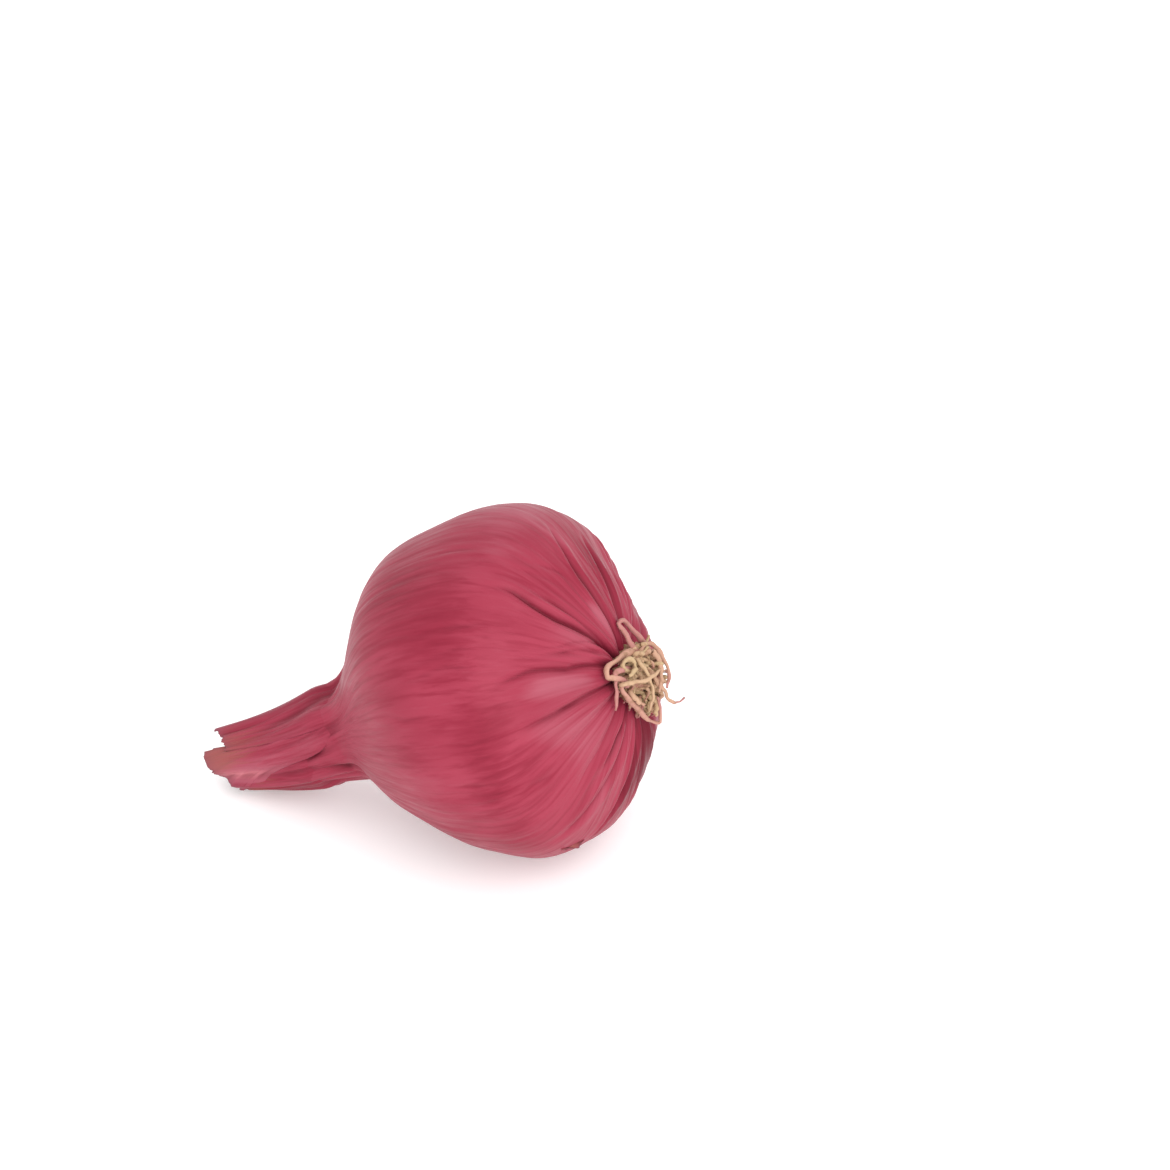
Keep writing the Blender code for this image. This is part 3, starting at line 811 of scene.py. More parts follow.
def grid_normals(points, outwards):
    """Unit normals of a grid, from the cross product of its two directions, on the outwards side."""
    along = np.gradient(points, axis=0)
    across = np.gradient(points, axis=1)
    return facing(unit(np.cross(across, along)), outwards)


# The bulb's skin


def far_creases():
    """Creases of the far side, in the form of SHOWN_CREASES, spread evenly with a seeded jitter."""
    draw = np.random.default_rng(3)
    step = FAR_SPAN_DEG / FAR_CREASES
    made = []
    for k in range(FAR_CREASES):
        angle = FAR_FROM_DEG + step * (k + draw.uniform(-0.35, 0.35))
        drift = draw.uniform(-6.0, 6.0)
        reach = draw.uniform(6.0, 17.0)
        points = [(angle, 0.8), (angle + 0.5 * drift, 0.4 * reach), (angle + drift, reach)]
        made.append((points, draw.uniform(1.0, 1.5), draw.uniform(0.4, 1.1), draw.uniform(0.3, 0.8)))
    return made


def fine_wrinkles(count, depth):
    """Seeded fine wrinkles that start at the root pole, in the form of SHOWN_CREASES."""
    draw = np.random.default_rng(5)
    made = []
    for k in range(count):
        angle = 360.0 * (k + draw.uniform(-0.45, 0.45)) / count
        reach = draw.uniform(2.5, 8.5)
        points = [(angle, 0.7), (angle + draw.uniform(-3.0, 3.0), reach)]
        strength = draw.uniform(0.15, 1.0) ** 1.5
        made.append((points, draw.uniform(0.5, 0.9), depth / MM * strength, 0.27 * strength))
    return made


def short_creases():
    """Seeded short creases along the fibres, away from the root pole, in the form of SHOWN_CREASES."""
    draw = np.random.default_rng(8)
    made = []
    for _ in range(SHORT_CREASES):
        angle, begins = draw.uniform(0.0, 360.0), draw.uniform(9.0, 44.0)
        length = draw.uniform(4.0, 12.0)
        points = [(angle, begins + length), (angle + draw.uniform(-2.5, 2.5), begins)]
        made.append((points, draw.uniform(0.6, 1.0), draw.uniform(0.05, 0.16), draw.uniform(0.1, 0.35)))
    return made


def skin_creases(station, angle, settings):
    """Depth of all creases, and how dark the painted shade of the line at their bottom is.

    A crease follows its points' angles, with a small sine for waviness. The distance across it gives
    the groove, and its strength rises and falls smoothly between its first and last station.
    """
    radius = profile(station)
    sunk = np.zeros(station.shape)
    line = np.zeros(station.shape)
    lines = SHOWN_CREASES + far_creases() + short_creases()
    lines += fine_wrinkles(settings.wrinkle_count, settings.wrinkle_depth)
    draw = np.random.default_rng(12)
    for points, width, depth, darkness in lines:
        points = sorted(points, key=lambda point: point[1])
        degrees, places = np.array(points).T
        first, last = places[0] * MM, places[-1] * MM
        middle = np.radians(np.interp(station, places * MM, degrees))
        wave = CREASE_WAVE * np.sin(station / (draw.uniform(1.6, 2.8) * MM) + draw.uniform(0.0, 6.3))
        across = radius * turn(angle, middle) + wave * ease(station / CREASE_WAVE_STARTS)
        length = last - first
        from_pole = first < 2.0 * MM
        enters = ease(radius / (6.5 * MM)) if from_pole else ease((station - first) / (0.45 * length))
        leaves = ease((last + 0.2 * length - station) / (0.75 * length))
        strength = enters * leaves
        tight = 0.45 + 0.55 * ease(radius / (14.0 * MM))
        half = 0.5 * width * MM * tight
        sunk = sunk + depth * MM * strength * sharp_crease(across / (1.35 * half))
        # Painted shade along the bottom of the crease
        line = line + darkness * strength * np.exp(-np.abs(across / half) ** 1.7)
    return sunk, line


def fibre_column(station, angle):
    """The column whose fibre passes through each angle: fan_out undone by repeated substitution."""
    column = angle
    for _ in range(12):
        column = column + angle - fan_out(station, column)
    return column


def fibre_place(turned, station):
    """Where the skin's noise is read: the cosine and sine of an angle, and the station in belly radii."""
    return np.stack([np.cos(turned), np.sin(turned), station / BELLY_RADIUS], -1)


def skin_tone(station, angle):
    """Sum of smooth bells, round and along: where the skin is darker (+) or paler (-)."""
    tone = np.zeros(station.shape)
    for middle, place, round_deg, along, amount in TONES:
        round_share = turn(angle, math.radians(middle)) / math.radians(round_deg)
        along_share = (station - place * MM) / (along * MM)
        tone = tone + amount * np.exp(-(round_share**2) - along_share**2)
    return tone


def neck_folds(station, angle):
    """Depth of the neck's folds, each one a groove that drifts round the neck as it runs out.

    The placed folds come first, and then a fine seeded one at every twelve degrees or so.
    """
    radius = profile(station)
    grown = ease((station - NECK_BASE + 10.0 * MM) / (16.0 * MM))
    sunk = np.zeros(station.shape)
    for middle, drift, depth, width in NECK_FOLDS:
        here = np.radians(middle + drift * (station - NECK_BASE) / MM)
        share = radius * turn(angle, here) / (0.5 * width * MM)
        sunk = sunk + depth * MM * grown * groove(share)
    draw = np.random.default_rng(9)
    for middle in np.arange(0.0, 360.0, 12.0):
        shift, drift = draw.uniform(-5.0, 5.0), draw.uniform(-0.9, 0.9)
        here = np.radians(middle + shift + drift * (station - NECK_BASE) / MM)
        begins = NECK_BASE - draw.uniform(4.0, 16.0) * MM
        share = radius * turn(angle, here) / (draw.uniform(0.4, 0.8) * MM)
        depth = draw.uniform(0.12, 0.4) * MM * ease((station - begins) / (12.0 * MM))
        sunk = sunk + depth * groove(share)
    return sunk


def plain_surface(station, angle):
    """The turned bulb and its outward normals: spine point plus the profile in the ring's direction."""
    across = ring_directions(station, angle)
    points = spine(station) + profile(station)[..., None] * across
    along = np.gradient(points, axis=0)
    round_it = np.roll(points, -1, 1) - np.roll(points, 1, 1)
    return points, facing(unit(np.cross(round_it, along)), across)


def skin_rows():
    """Stations of the skin's rows: an eased run to the belly, then even steps to the neck's end."""
    theta = np.linspace(FIRST_RING_SHARE, 1.0, ROOT_END_ROWS) * (math.pi / 2)
    root_end = ROOT_END_LENGTH * (1.0 - np.cos(theta) ** (2.0 / ROOT_END_SQUARENESS))
    shoulder = np.linspace(ROOT_END_LENGTH, NECK_BASE, SHOULDER_ROWS + 1)[1:]
    neck = np.linspace(NECK_BASE, NECK_BASE + NECK_CORE_LENGTH, NECK_ROWS + 1)[1:]
    return np.concatenate([root_end, shoulder, neck])


def neck_dryness(station):
    """How dry the skin itself is: none up to the neck, then eased up to a half."""
    return 0.5 * ease((station - NECK_BASE - 6.0 * MM) / NECK_LENGTH)


def fold_shade_and_highlight(folds):
    """Painted shade in the neck's folds, full at 0.9 mm deep, and a painted highlight, less than none, on
    what is raised.
    """
    return np.clip(folds / (0.9 * MM), -0.4, 1.0)


def smooth_form():
    """The skin before its creases, about the belly's middle, with its stations, columns and normals.

    Plain surface plus fullness, less the dimple and the plate's seat, along the normal.
    """
    rows = skin_rows()
    columns = np.linspace(0.0, 2 * math.pi, SKIN_COLUMNS, endpoint=False)
    station, column = np.meshgrid(rows, columns, indexing="ij")
    angle = fan_out(station, column)
    plain, normal = plain_surface(station, angle)
    radius = profile(station)
    at_root = station < ROOT_END_LENGTH
    dimple = DIMPLE_DEPTH * np.exp(-((radius / DIMPLE_RADIUS) ** 2)) * at_root
    dimple = dimple + PLATE_SEAT_DEPTH * np.exp(-((radius / (0.8 * PLATE_RADIUS)) ** 6)) * at_root
    points = plain + (fullness(station, angle) - dimple)[..., None] * normal
    return station, column, angle, points, normal


def belly_place():
    """Where the belly's middle is: the smooth form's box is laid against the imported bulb's box."""
    points = smooth_form()[3].reshape(-1, 3)
    low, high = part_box("bulb")
    return np.array(
        [
            high.x - points[:, 0].max(),
            0.5 * (low.y + high.y - points[:, 1].min() - points[:, 1].max()),
            high.z - points[:, 2].max(),
        ]
    )


def build_skin(settings, neck_settings):
    """The bulb's skin: its form, raised by swells and veins of seeded noise along the fibres.

    The neck's end turns in to a hollow. What would be below the table is pressed flat on it.
    """
    station, column, angle, points, normal = smooth_form()
    sunk, lines = skin_creases(station, angle, settings)
    folds = neck_folds(station, angle)
    rows, columns = station.shape
    swells = noise_field(21, rows, columns, 30.0, 11.0)
    waves = noise_field(22, rows, columns, 16.0, 3.6)
    veins = noise_field(23, rows, columns, 14.0, 0.9)
    quiet_pole = ease(profile(station) / (14.0 * MM))
    raised = settings.swell_height * (swells + 0.42 * waves) + settings.vein_height * veins
    points = points + (raised * quiet_pole - sunk - folds)[..., None] * normal
    points = points + belly_place()
    end_ring, hollow_middle = points[-1], points[-1].mean(axis=0)
    inward = spine_axes(np.array(NECK_BASE + NECK_CORE_LENGTH))[0]
    kept, deep = np.array(HOLLOW_RINGS).T[:, :, None, None]
    hollow = hollow_middle + kept * (end_ring - hollow_middle)
    hollow = hollow + deep * MM * inward
    points = np.concatenate([points, hollow])
    points[..., 2] = np.maximum(points[..., 2], 0.0)
    in_hollow = np.ones(hollow.shape[:2])
    # Painted shade in the creases, the folds and the hollow, and a painted highlight on the skin raised
    # beside the folds
    painted_shade_share = np.concatenate([lines + fold_shade_and_highlight(folds), in_hollow])
    tone = np.concatenate([skin_tone(station, angle), HOLLOW_SHADE_TONE * in_hollow])
    dry = np.concatenate([neck_dryness(station), HOLLOW_DRYNESS * in_hollow])
    fibre = fibre_place(column, station)
    fibre = np.concatenate([fibre, np.repeat(fibre[-1:], len(hollow), axis=0)])
    poles = np.stack([points[0].mean(axis=0), points[-1].mean(axis=0)])
    attributes = {
        "fibre": np.concatenate([fibre.reshape(-1, 3), fibre[[0, -1], 0]]),
        "crease": np.concatenate([painted_shade_share.ravel(), [1.0, 1.0]]),
        "dry": np.concatenate([dry.ravel(), [0.0, HOLLOW_DRYNESS]]),
        "tone": np.concatenate([tone.ravel(), [HOLLOW_SHADE_TONE, HOLLOW_SHADE_TONE]]),
    }
    material = skin_material("dry red skin", settings, neck_settings)
    faces = tube_faces(len(points), columns)
    points = np.concatenate([points.reshape(-1, 3), poles])
    made = new_piece("bulb_skin", points, faces, material, attributes)
    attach(made, "root")
    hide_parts("bulb")


# The neck's dry leaves


def bent(values, far):
    """The cubic through four values at 0, a third, two thirds and 1."""
    return np.polyval(np.polyfit((0.0, 1 / 3, 2 / 3, 1.0), values, 3), far)


def neck_leaf(index, leaf, settings):
    """Outer and inner grid of one dry leaf round the neck, with its attributes.

    Its radius is the neck's, less a share of the neck's folds, plus an eased height, ridges of
    summed sines along it, and a curl that grows with the sixth power towards each edge. It starts
    with the looks of the skin below it and eases into its own.
    """
    columns = LEAF_GRID[1]
    side, far = sheet_shares(*LEAF_GRID)
    draw = np.random.default_rng(40 + index)
    rough = noise_field(60 + index, 2, columns, 0.5, 4.0)[0] * 0.35
    teeth = np.abs(noise_field(80 + index, 2, columns, 0.5, 1.2)[0]) * 0.22
    end = (leaf.ends[0] + (leaf.ends[1] - leaf.ends[0]) * side[0]) * MM
    end = end - TORN_DEPTH * np.clip(0.4 + rough + teeth, 0.0, 1.6)
    station = leaf.begins * MM + far * (end[None, :] - leaf.begins * MM)
    first = bent(leaf.first_edge, far)
    last = bent(leaf.last_edge, far)
    angle = np.radians(first + (last - first) * side)
    out_of_neck = ease(far / 0.35)
    proud = leaf.lift * MM * out_of_neck - 1.6 * MM * (1.0 - out_of_neck) + leaf.lean * MM * far**3
    ridges = np.zeros(side.shape)
    for waves, share in LEAF_RIDGES:
        phase = draw.uniform(0.0, 2 * math.pi) + draw.uniform(-1.0, 1.0) * far
        ridges = ridges + share * np.sin(2 * math.pi * waves * side + phase)
    curl = leaf.curls[0] * (1.0 - side) ** 6 + leaf.curls[1] * side**6
    folds = neck_folds(station, angle)
    radius = profile(station) + proud - (1.0 - 0.45 * out_of_neck) * folds
    radius = radius + settings.ridge_height * ridges * (0.35 + 0.65 * far) * out_of_neck
    radius = radius + curl * MM * ease(far / 0.4) - 0.35 * MM * np.abs(2.0 * side - 1.0) ** 5
    across = ring_directions(station, angle)
    outer = spine(station) + radius[..., None] * across
    thin = settings.leaf_thickness * (1.0 - 0.5 * np.abs(2.0 * side - 1.0) ** 8)
    inner = outer - thin[..., None] * grid_normals(outer, across)
    fibre = fibre_place(fibre_column(station, angle), station)
    own = ease(far / 0.5)
    near_edge = leaf.rims[0] * (1.0 - side) ** 7 + leaf.rims[1] * side**20
    near_edge = np.clip(np.maximum(near_edge * own, 0.6 * far**26), 0.0, 1.0)
    how_dry = leaf.dryness[0] + (leaf.dryness[1] - leaf.dryness[0]) * ease(1.6 * side - 0.3)
    dry = how_dry * (0.3 * own + 0.7 * ease((far - 0.5) / 0.5)) + 0.1 * near_edge
    dry = np.clip(dry + (1.0 - own) * neck_dryness(station), 0.0, 1.0)
    # Painted shade in the leaf's folds and a painted highlight on its ridges, eased in from the skin's
    # below
    leaf_shade_and_highlight = np.clip(0.35 * folds / (0.8 * MM) - 0.12 * ridges, -0.4, 1.0)
    crease = own * leaf_shade_and_highlight + (1.0 - own) * fold_shade_and_highlight(folds)
    tone = leaf.tone * own + skin_tone(station, angle)
    return outer, inner, fibre, dry, crease, near_edge, tone


def rolled_leaf(settings):
    """Grids of the innermost leaf, rolled up: its radius shrinks evenly with the angle round the roll."""
    side, far = sheet_shares(*ROLLED_LEAF_GRID)
    torn = np.abs(noise_field(77, 2, ROLLED_LEAF_GRID[1], 0.5, 1.2)[0]) * 0.6 * MM
    station = ROLLED_LEAF_BEGINS + far * (ROLLED_LEAF_ENDS - torn[None, :] - ROLLED_LEAF_BEGINS)
    _, sideways, rise = spine_axes(station)
    offset_angle = np.full(station.shape, math.radians(ROLLED_LEAF_ANGLE_DEG))
    middle = spine(station) + ROLLED_LEAF_OFFSET * ring_directions(station, offset_angle)
    angle = 2 * math.pi * ROLLED_LEAF_TURNS * side + 0.4 * far
    wobble = 0.16 * MM * np.sin(5 * angle + 3.0 * far) + 0.1 * MM * np.sin(9 * angle)
    radius = (ROLLED_LEAF_RADIUS - 0.5 * MM * far) * (1.0 - 0.52 * side) + wobble * (1.0 - 0.5 * side)
    across = np.cos(angle)[..., None] * sideways + 0.82 * np.sin(angle)[..., None] * rise
    outer = middle + radius[..., None] * across
    inner = outer - settings.leaf_thickness * across
    fibre = fibre_place(angle, station) + (0.0, 0.0, 40.0)
    dry = 0.75 + 0.25 * far
    # Painted shade, darker towards the inner turns of the roll
    crease = 0.4 * side
    near_edge = far**22
    return outer, inner, fibre, dry, crease, near_edge, np.full(far.shape, ROLLED_LEAF_TONE)


def build_neck(settings, skin_settings):
    """All dry leaves of the neck as one piece, each a thin closed sheet."""
    sheets = [neck_leaf(i, leaf, settings) for i, leaf in enumerate(NECK_LEAVES)]
    sheets.append(rolled_leaf(settings))
    points, faces, labels = [], [], {"fibre": [], "dry": [], "crease": [], "edge": [], "tone": []}
    count = 0
    for outer, inner, *values_of_sheet in sheets:
        rows, columns = outer.shape[:2]
        faces.append(count + sheet_quads(rows, columns))
        points += [outer.reshape(-1, 3), inner.reshape(-1, 3)]
        for label, values in zip(labels, values_of_sheet):
            flat = values.reshape(rows * columns, -1)
            labels[label] += [flat, flat]
        count += 2 * rows * columns
    points = np.concatenate(points) + belly_place()
    points[:, 2] = np.maximum(points[:, 2], LEAF_TABLE_GAP)
    attributes = {label: np.concatenate(values).squeeze() for label, values in labels.items()}
    material = skin_material("dry neck leaf", skin_settings, settings)
    made = new_piece("neck_leaves", points, [np.concatenate(faces)], material, attributes)
    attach(made, "root")


# The torn flake of outer skin


def build_flake(skin_settings, neck_settings):
    """A torn flake low on the root end: a small sheet that rises off the skin towards its free edge.

    Height over the skin is the square of the way across it, plus a seeded crumple.
    """
    rows, columns = FLAKE_GRID
    side, far = sheet_shares(rows, columns)
    ragged = 0.12 * noise_field(91, rows, columns, 1.5, 1.0) * side**2
    width = (0.35 + 0.65 * np.sin(math.pi * np.clip(far * 1.02, 0, 1)) ** 0.7) * (1.0 + ragged)
    station = FLAKE_STATION + FLAKE_LENGTH * far
    angle = np.radians(FLAKE_ANGLE_DEG + FLAKE_WIDTH_DEG * side * width - 5.0 * far)
    crumple = 0.12 * MM * noise_field(92, rows, columns, 3.0, 3.0) * side
    height = 0.06 * MM + FLAKE_RISE * side**2 * width + crumple
    across = ring_directions(station, angle)
    base = spine(station) + (profile(station) + fullness(station, angle))[..., None] * across
    outer = base + height[..., None] * grid_normals(base, across)
    inner = outer - FLAKE_THICKNESS * grid_normals(outer, across)
    points = np.concatenate([outer.reshape(-1, 3), inner.reshape(-1, 3)]) + belly_place()
    fibre = fibre_place(angle, station).reshape(-1, 3)
    dry = (0.35 + 0.5 * side).ravel()
    edge = (side**6).ravel()
    attributes = {
        "fibre": np.concatenate([fibre, fibre]),
        "dry": np.concatenate([dry, dry]),
        "edge": np.concatenate([edge, edge]),
        "crease": np.concatenate([dry, dry]) + 0.2,
    }
    material = skin_material("torn skin flake", skin_settings, neck_settings)
    made = new_piece("skin_flake", points, [sheet_quads(rows, columns)], material, attributes)
    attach(made, "root")


# The stem plate and its roots


def root_frame(place):
    """The root pole, and a matrix whose rows point to its side, up across it, and out of it."""
    out, side, rise = spine_axes(np.array(0.0))
    return spine(np.array(0.0)) + place, np.stack([side, rise, out])


def skin_height(radius):
    """How far out of the root pole the dimpled skin is: the cap's fall less the dimple's bell."""
    share = np.clip(1.0 - (radius / BELLY_RADIUS) ** 2, 0.0, 1.0)
    cap = -ROOT_END_LENGTH * (1.0 - share ** (1.0 / ROOT_END_SQUARENESS))
    return cap - DIMPLE_DEPTH * np.exp(-((radius / DIMPLE_RADIUS) ** 2))


def smooth_through(points, steps):
    """A smooth line through the points: between each two, the cubic whose slopes are half the chords."""
    points = np.asarray(points, float)
    padded = np.concatenate([2 * points[:1] - points[1:2], points, 2 * points[-1:] - points[-2:-1]])
    where = np.linspace(0.0, len(points) - 1.0, steps)
    i = np.minimum(where.astype(int), len(points) - 2)
    u = (where - i)[:, None]
    a, b, c, d = padded[i], padded[i + 1], padded[i + 2], padded[i + 3]
    return 0.5 * (
        2 * b + (c - a) * u + (2 * a - 5 * b + 4 * c - d) * u**2 + (3 * b - a - 3 * c + d) * u**3
    )


def picked_route(points):
    """Points picked in the photograph as points of the root frame, sideways, upwards and out.

    What is left of a photo point past the pole and its own step out is so many steps sideways and
    so many upwards, which the two equations give. They are kept to a tenth of a millimetre.
    """
    *in_photo, out = np.array(points).T
    left = np.array(in_photo).T - PHOTO_POLE - out[:, None] * PHOTO_OUT
    steps = np.linalg.solve(np.stack([PHOTO_SIDEWAYS, PHOTO_UPWARDS], -1), left.T)
    return np.stack([*np.round(steps, 1), out], -1) * MM


def strand_paths(settings, steps):
    """Centre lines of all strands in the root frame, as strands by steps by three.

    The seeded ones grow out of the plate, lean away from its middle and droop with a power of the
    way along, with sines for their curl, and what would be past a side of the clump is pushed back.
    Their height is half a sine arch kept clear of the skin. The others are smooth lines through the
    picked points. All are shaken a little by smoothed seeded noise.
    """
    count = settings.strand_count
    draw = np.random.default_rng(17)
    share = ((np.arange(count) + 0.5) / count)[:, None]
    far = np.linspace(0.0, 1.0, steps)[None, :]

    def between(low, high):
        return draw.uniform(low, high, (count, 1))

    start = 0.88 * PLATE_RADIUS * np.sqrt(share)
    angle = np.arange(count)[:, None] * GOLDEN_ANGLE + between(-0.25, 0.25)
    lean = between(0.05, 0.75)
    drift = between(-3.2, 2.2) * MM
    droop = between(0.2, 4.6) * MM
    rise = between(2.0, 6.6) * MM * (1.15 - 0.6 * share)
    fall = between(0.2, 0.95)
    curl = between(0.2, 0.62) * MM
    bends = between(4.0, 11.0)
    phase = between(0.0, 2 * math.pi)
    late = far**0.7
    sideways = start * np.cos(angle) * (1.0 + lean * far) + drift * far**1.5
    sideways = sideways + curl * np.sin(bends * far + phase) * late
    upwards = start * np.sin(angle) * (1.0 + lean * far) - droop * far**1.8
    upwards = upwards + curl * np.sin(0.8 * bends * far + 2.0 * phase) * late
    for x, y, most, less in CLUMP_SIDES:
        beyond = x * sideways + y * upwards - (most - between(0.0, less)) * MM
        back = 0.5 * (beyond + np.sqrt(beyond**2 + CLUMP_SOFTNESS**2)) * ease(far / 0.3)
        sideways = sideways - 0.9 * x * back
        upwards = upwards - 0.9 * y * back
    arch = np.sin(math.pi * (0.5 + 0.5 * fall) * far)
    height = skin_height(start) - 0.2 * MM + rise * arch + curl * np.cos(bends * far + phase) * late
    floor = skin_height(np.hypot(sideways, upwards)) + settings.strand_radius + STRAND_GAP
    height = np.where(far > 0.3, np.maximum(height, floor), height)
    seeded = np.stack([sideways, upwards, height], -1)
    shown = np.stack([smooth_through(picked_route(row[0]), steps) for row in SHOWN_STRANDS])
    paths = np.concatenate([seeded, shown])
    shaken = draw.standard_normal((len(paths), steps + 2, 3))
    shaken = 0.25 * shaken[:, :-2] + 0.5 * shaken[:, 1:-1] + 0.25 * shaken[:, 2:]
    return paths + STRAND_SHAKE * shaken * ease(far / 0.2)[..., None]


def build_roots(settings):
    """All strands as one piece of tubes.

    A ring of a strand is its centre plus the strand's radius round two directions square to it.
    The radius tapers and carries seeded knots and two shrunken flutes. How far along a strand each
    point is, the strand's tone and its pinkness go to the material as attributes.
    """
    steps, sides = STRAND_GRID
    paths = strand_paths(settings, steps)
    count = len(paths)
    draw = np.random.default_rng(29)
    ahead = unit(np.gradient(paths, axis=1))
    first_half = paths[:, steps // 2] - paths[:, 0]
    second_half = paths[:, -1] - paths[:, steps // 2]
    level = unit(np.cross(first_half, second_half))[:, None, :]
    across = unit(level - ahead * (ahead * level).sum(-1, keepdims=True))
    other = np.cross(ahead, across)
    far = np.linspace(0.0, 1.0, steps)[None, :]
    thick = draw.uniform(0.55, 1.1, (count, 1))
    shown_looks = np.array([looks for _, *looks in SHOWN_STRANDS])
    seeded = count - len(shown_looks)
    thick[seeded:, 0] = shown_looks[:, 0]
    knots = np.stack([noise_field(100 + k, 2, steps, 0.5, 1.1)[0] for k in range(count)])
    taper = 1.12 - 0.42 * far**1.5
    taper = taper * np.where(far > 0.93, 0.72, 1.0)
    girth = settings.strand_radius * thick * taper * (1.0 + KNOT_SHARE * knots)
    round_it = np.linspace(0.0, 2 * math.pi, sides, endpoint=False)
    flute_turn = draw.uniform(0, 6.3, (count, 1, 1)) + 3.0 * far[..., None]
    flutes = 1.0 + FLUTE_SHARE * np.cos(2 * round_it[None, None, :] + flute_turn)
    spread = girth[..., None] * flutes
    rings = paths[:, :, None, :] + spread[..., None] * (
        np.cos(round_it)[None, None, :, None] * across[:, :, None, :]
        + np.sin(round_it)[None, None, :, None] * other[:, :, None, :]
    )
    each = steps * sides + 2
    tips = paths[:, -1:] + 0.3 * girth[:, -1:, None] * ahead[:, -1:]
    points = np.concatenate([rings.reshape(count, -1, 3), paths[:, :1], tips], axis=1)
    offsets = (np.arange(count) * each)[:, None, None]
    tubes, ends = tube_faces(steps, sides)
    faces = [(offsets + tubes).reshape(-1, 4), (offsets + ends).reshape(-1, 3)]
    tone = draw.uniform(0.0, 1.0, (count, 1))
    tone[seeded:, 0] = shown_looks[:, 1]
    pink = np.zeros((count, 1))
    pink[seeded:, 0] = shown_looks[:, 2]
    along = np.repeat(far, sides, axis=1) * np.ones((count, 1))
    along = np.concatenate([along, np.zeros((count, 1)), np.ones((count, 1))], axis=1)
    attributes = {
        "along": along.ravel(),
        "tone": (tone * np.ones((1, each))).ravel(),
        "pink": (pink * np.ones((1, each))).ravel(),
    }
    pole, axes = root_frame(belly_place())
    points = pole + points.reshape(-1, 3) @ axes
    made = new_piece("roots", points, faces, root_material(settings), attributes)
    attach(made, "root")
    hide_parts("root_tuft")


def build_plate(settings):
    """The knobbly stem plate: a low dome whose height carries a bell for each seeded root scar."""
    rows, columns = PLATE_GRID
    reach = np.linspace(0.03, 1.0, rows)
    round_it = np.linspace(0.0, 2 * math.pi, columns, endpoint=False)
    share, angle = np.meshgrid(reach, round_it, indexing="ij")
    radius = PLATE_RADIUS * share * (1.0 - 0.05 * (1.0 + np.sin(5 * angle)) * share)
    x, y = radius * np.cos(angle), radius * np.sin(angle)
    dome = PLATE_DOME * np.sqrt(np.clip(1.0 - share**2.6, 0.0, 1.0))
    draw = np.random.default_rng(31)
    spread = PLATE_RADIUS * 0.93 * np.sqrt((np.arange(PLATE_SCARS) + 0.5) / PLATE_SCARS)
    place = np.arange(PLATE_SCARS) * GOLDEN_ANGLE + draw.uniform(-0.2, 0.2, PLATE_SCARS)
    bumps = np.zeros(x.shape)
    for r, a, high in zip(spread, place, draw.uniform(0.25, 0.8, PLATE_SCARS)):
        away = (x - r * math.cos(a)) ** 2 + (y - r * math.sin(a)) ** 2
        bumps = bumps + high * MM * np.exp(-away / SCAR_RADIUS**2)
    height = -DIMPLE_DEPTH + dome + bumps
    kept, deep = np.array(PLATE_SKIRT).T[:, :, None] * np.ones((1, 1, columns))
    skirt = np.stack([kept * x[-1], kept * y[-1], -DIMPLE_DEPTH - deep * MM], -1)
    grid = np.concatenate([np.stack([x, y, height], -1), skirt])
    poles = np.stack([grid[0].mean(axis=0), grid[-1].mean(axis=0)])
    pole, axes = root_frame(belly_place())
    points = pole + np.concatenate([grid.reshape(-1, 3), poles]) @ axes
    faces = tube_faces(len(grid), columns)
    high = np.clip(bumps / (0.8 * MM), 0.0, 1.0)
    # The plate is darkened through the same share as the strands' painted shade, less on the scars' tops
    along = np.concatenate([0.05 + 0.25 * high.ravel(), np.zeros(kept.size), [0.1, 0.0]])
    attributes = {"along": along, "tone": np.full(len(points), 0.45)}
    made = new_piece("stem_plate", points, faces, root_material(settings, "stem plate"), attributes)
    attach(made, "root")


# Materials


def set_inputs(tree, node, inputs):
    """Gives each named input of a node its value, or links it to another node's socket."""
    for name, value in inputs.items():
        if isinstance(value, bpy.types.NodeSocket):
            tree.links.new(value, node.inputs[name])
        else:
            node.inputs[name].default_value = value


def add_node(tree, kind, inputs=None, **settings):
    """A shader node with its settings and inputs."""
    made = tree.nodes.new("ShaderNode" + kind)
    for name, value in settings.items():
        setattr(made, name, value)
    set_inputs(tree, made, inputs or {})
    return made


def new_material(name):
    """A material, its node tree and its shader."""
    made = bpy.data.materials.new(name)
    made.use_nodes = True
    return made, made.node_tree, made.node_tree.nodes["Principled BSDF"]


def attribute(tree, name, output="Fac"):
    """The value of a mesh attribute at the shaded point."""
    return add_node(tree, "Attribute", attribute_name=name).outputs[output]


def noise(tree, where, stretch, detail=3.0, distortion=0.0):
    """Noise whose cells are stretched by these three scales."""
    mapped = add_node(tree, "Mapping", {"Vector": where, "Scale": stretch})
    inputs = {
        "Vector": mapped.outputs["Vector"],
        "Scale": 1.0,
        "Detail": detail,
        "Roughness": 0.55,
        "Distortion": distortion,
    }
    return add_node(tree, "TexNoise", inputs).outputs[0]


def spread_to(tree, value, low, high, to_low=0.0, to_high=1.0):
    """The value from low..high mapped to to_low..to_high with a smooth step and clamped."""
    inputs = {"Value": value, "From Min": low, "From Max": high, "To Min": to_low, "To Max": to_high}
    return add_node(tree, "MapRange", inputs, interpolation_type="SMOOTHSTEP").outputs[0]


def mix_colour(tree, share, low, high):
    """Low where share is 0 and high where it is 1."""
    return add_node(tree, "Mix", {0: share, 6: low, 7: high}, data_type="RGBA").outputs[2]


def maths(tree, operation, first, second=0.0):
    """One step of arithmetic on two values."""
    return add_node(tree, "Math", {0: first, 1: second}, operation=operation).outputs[0]


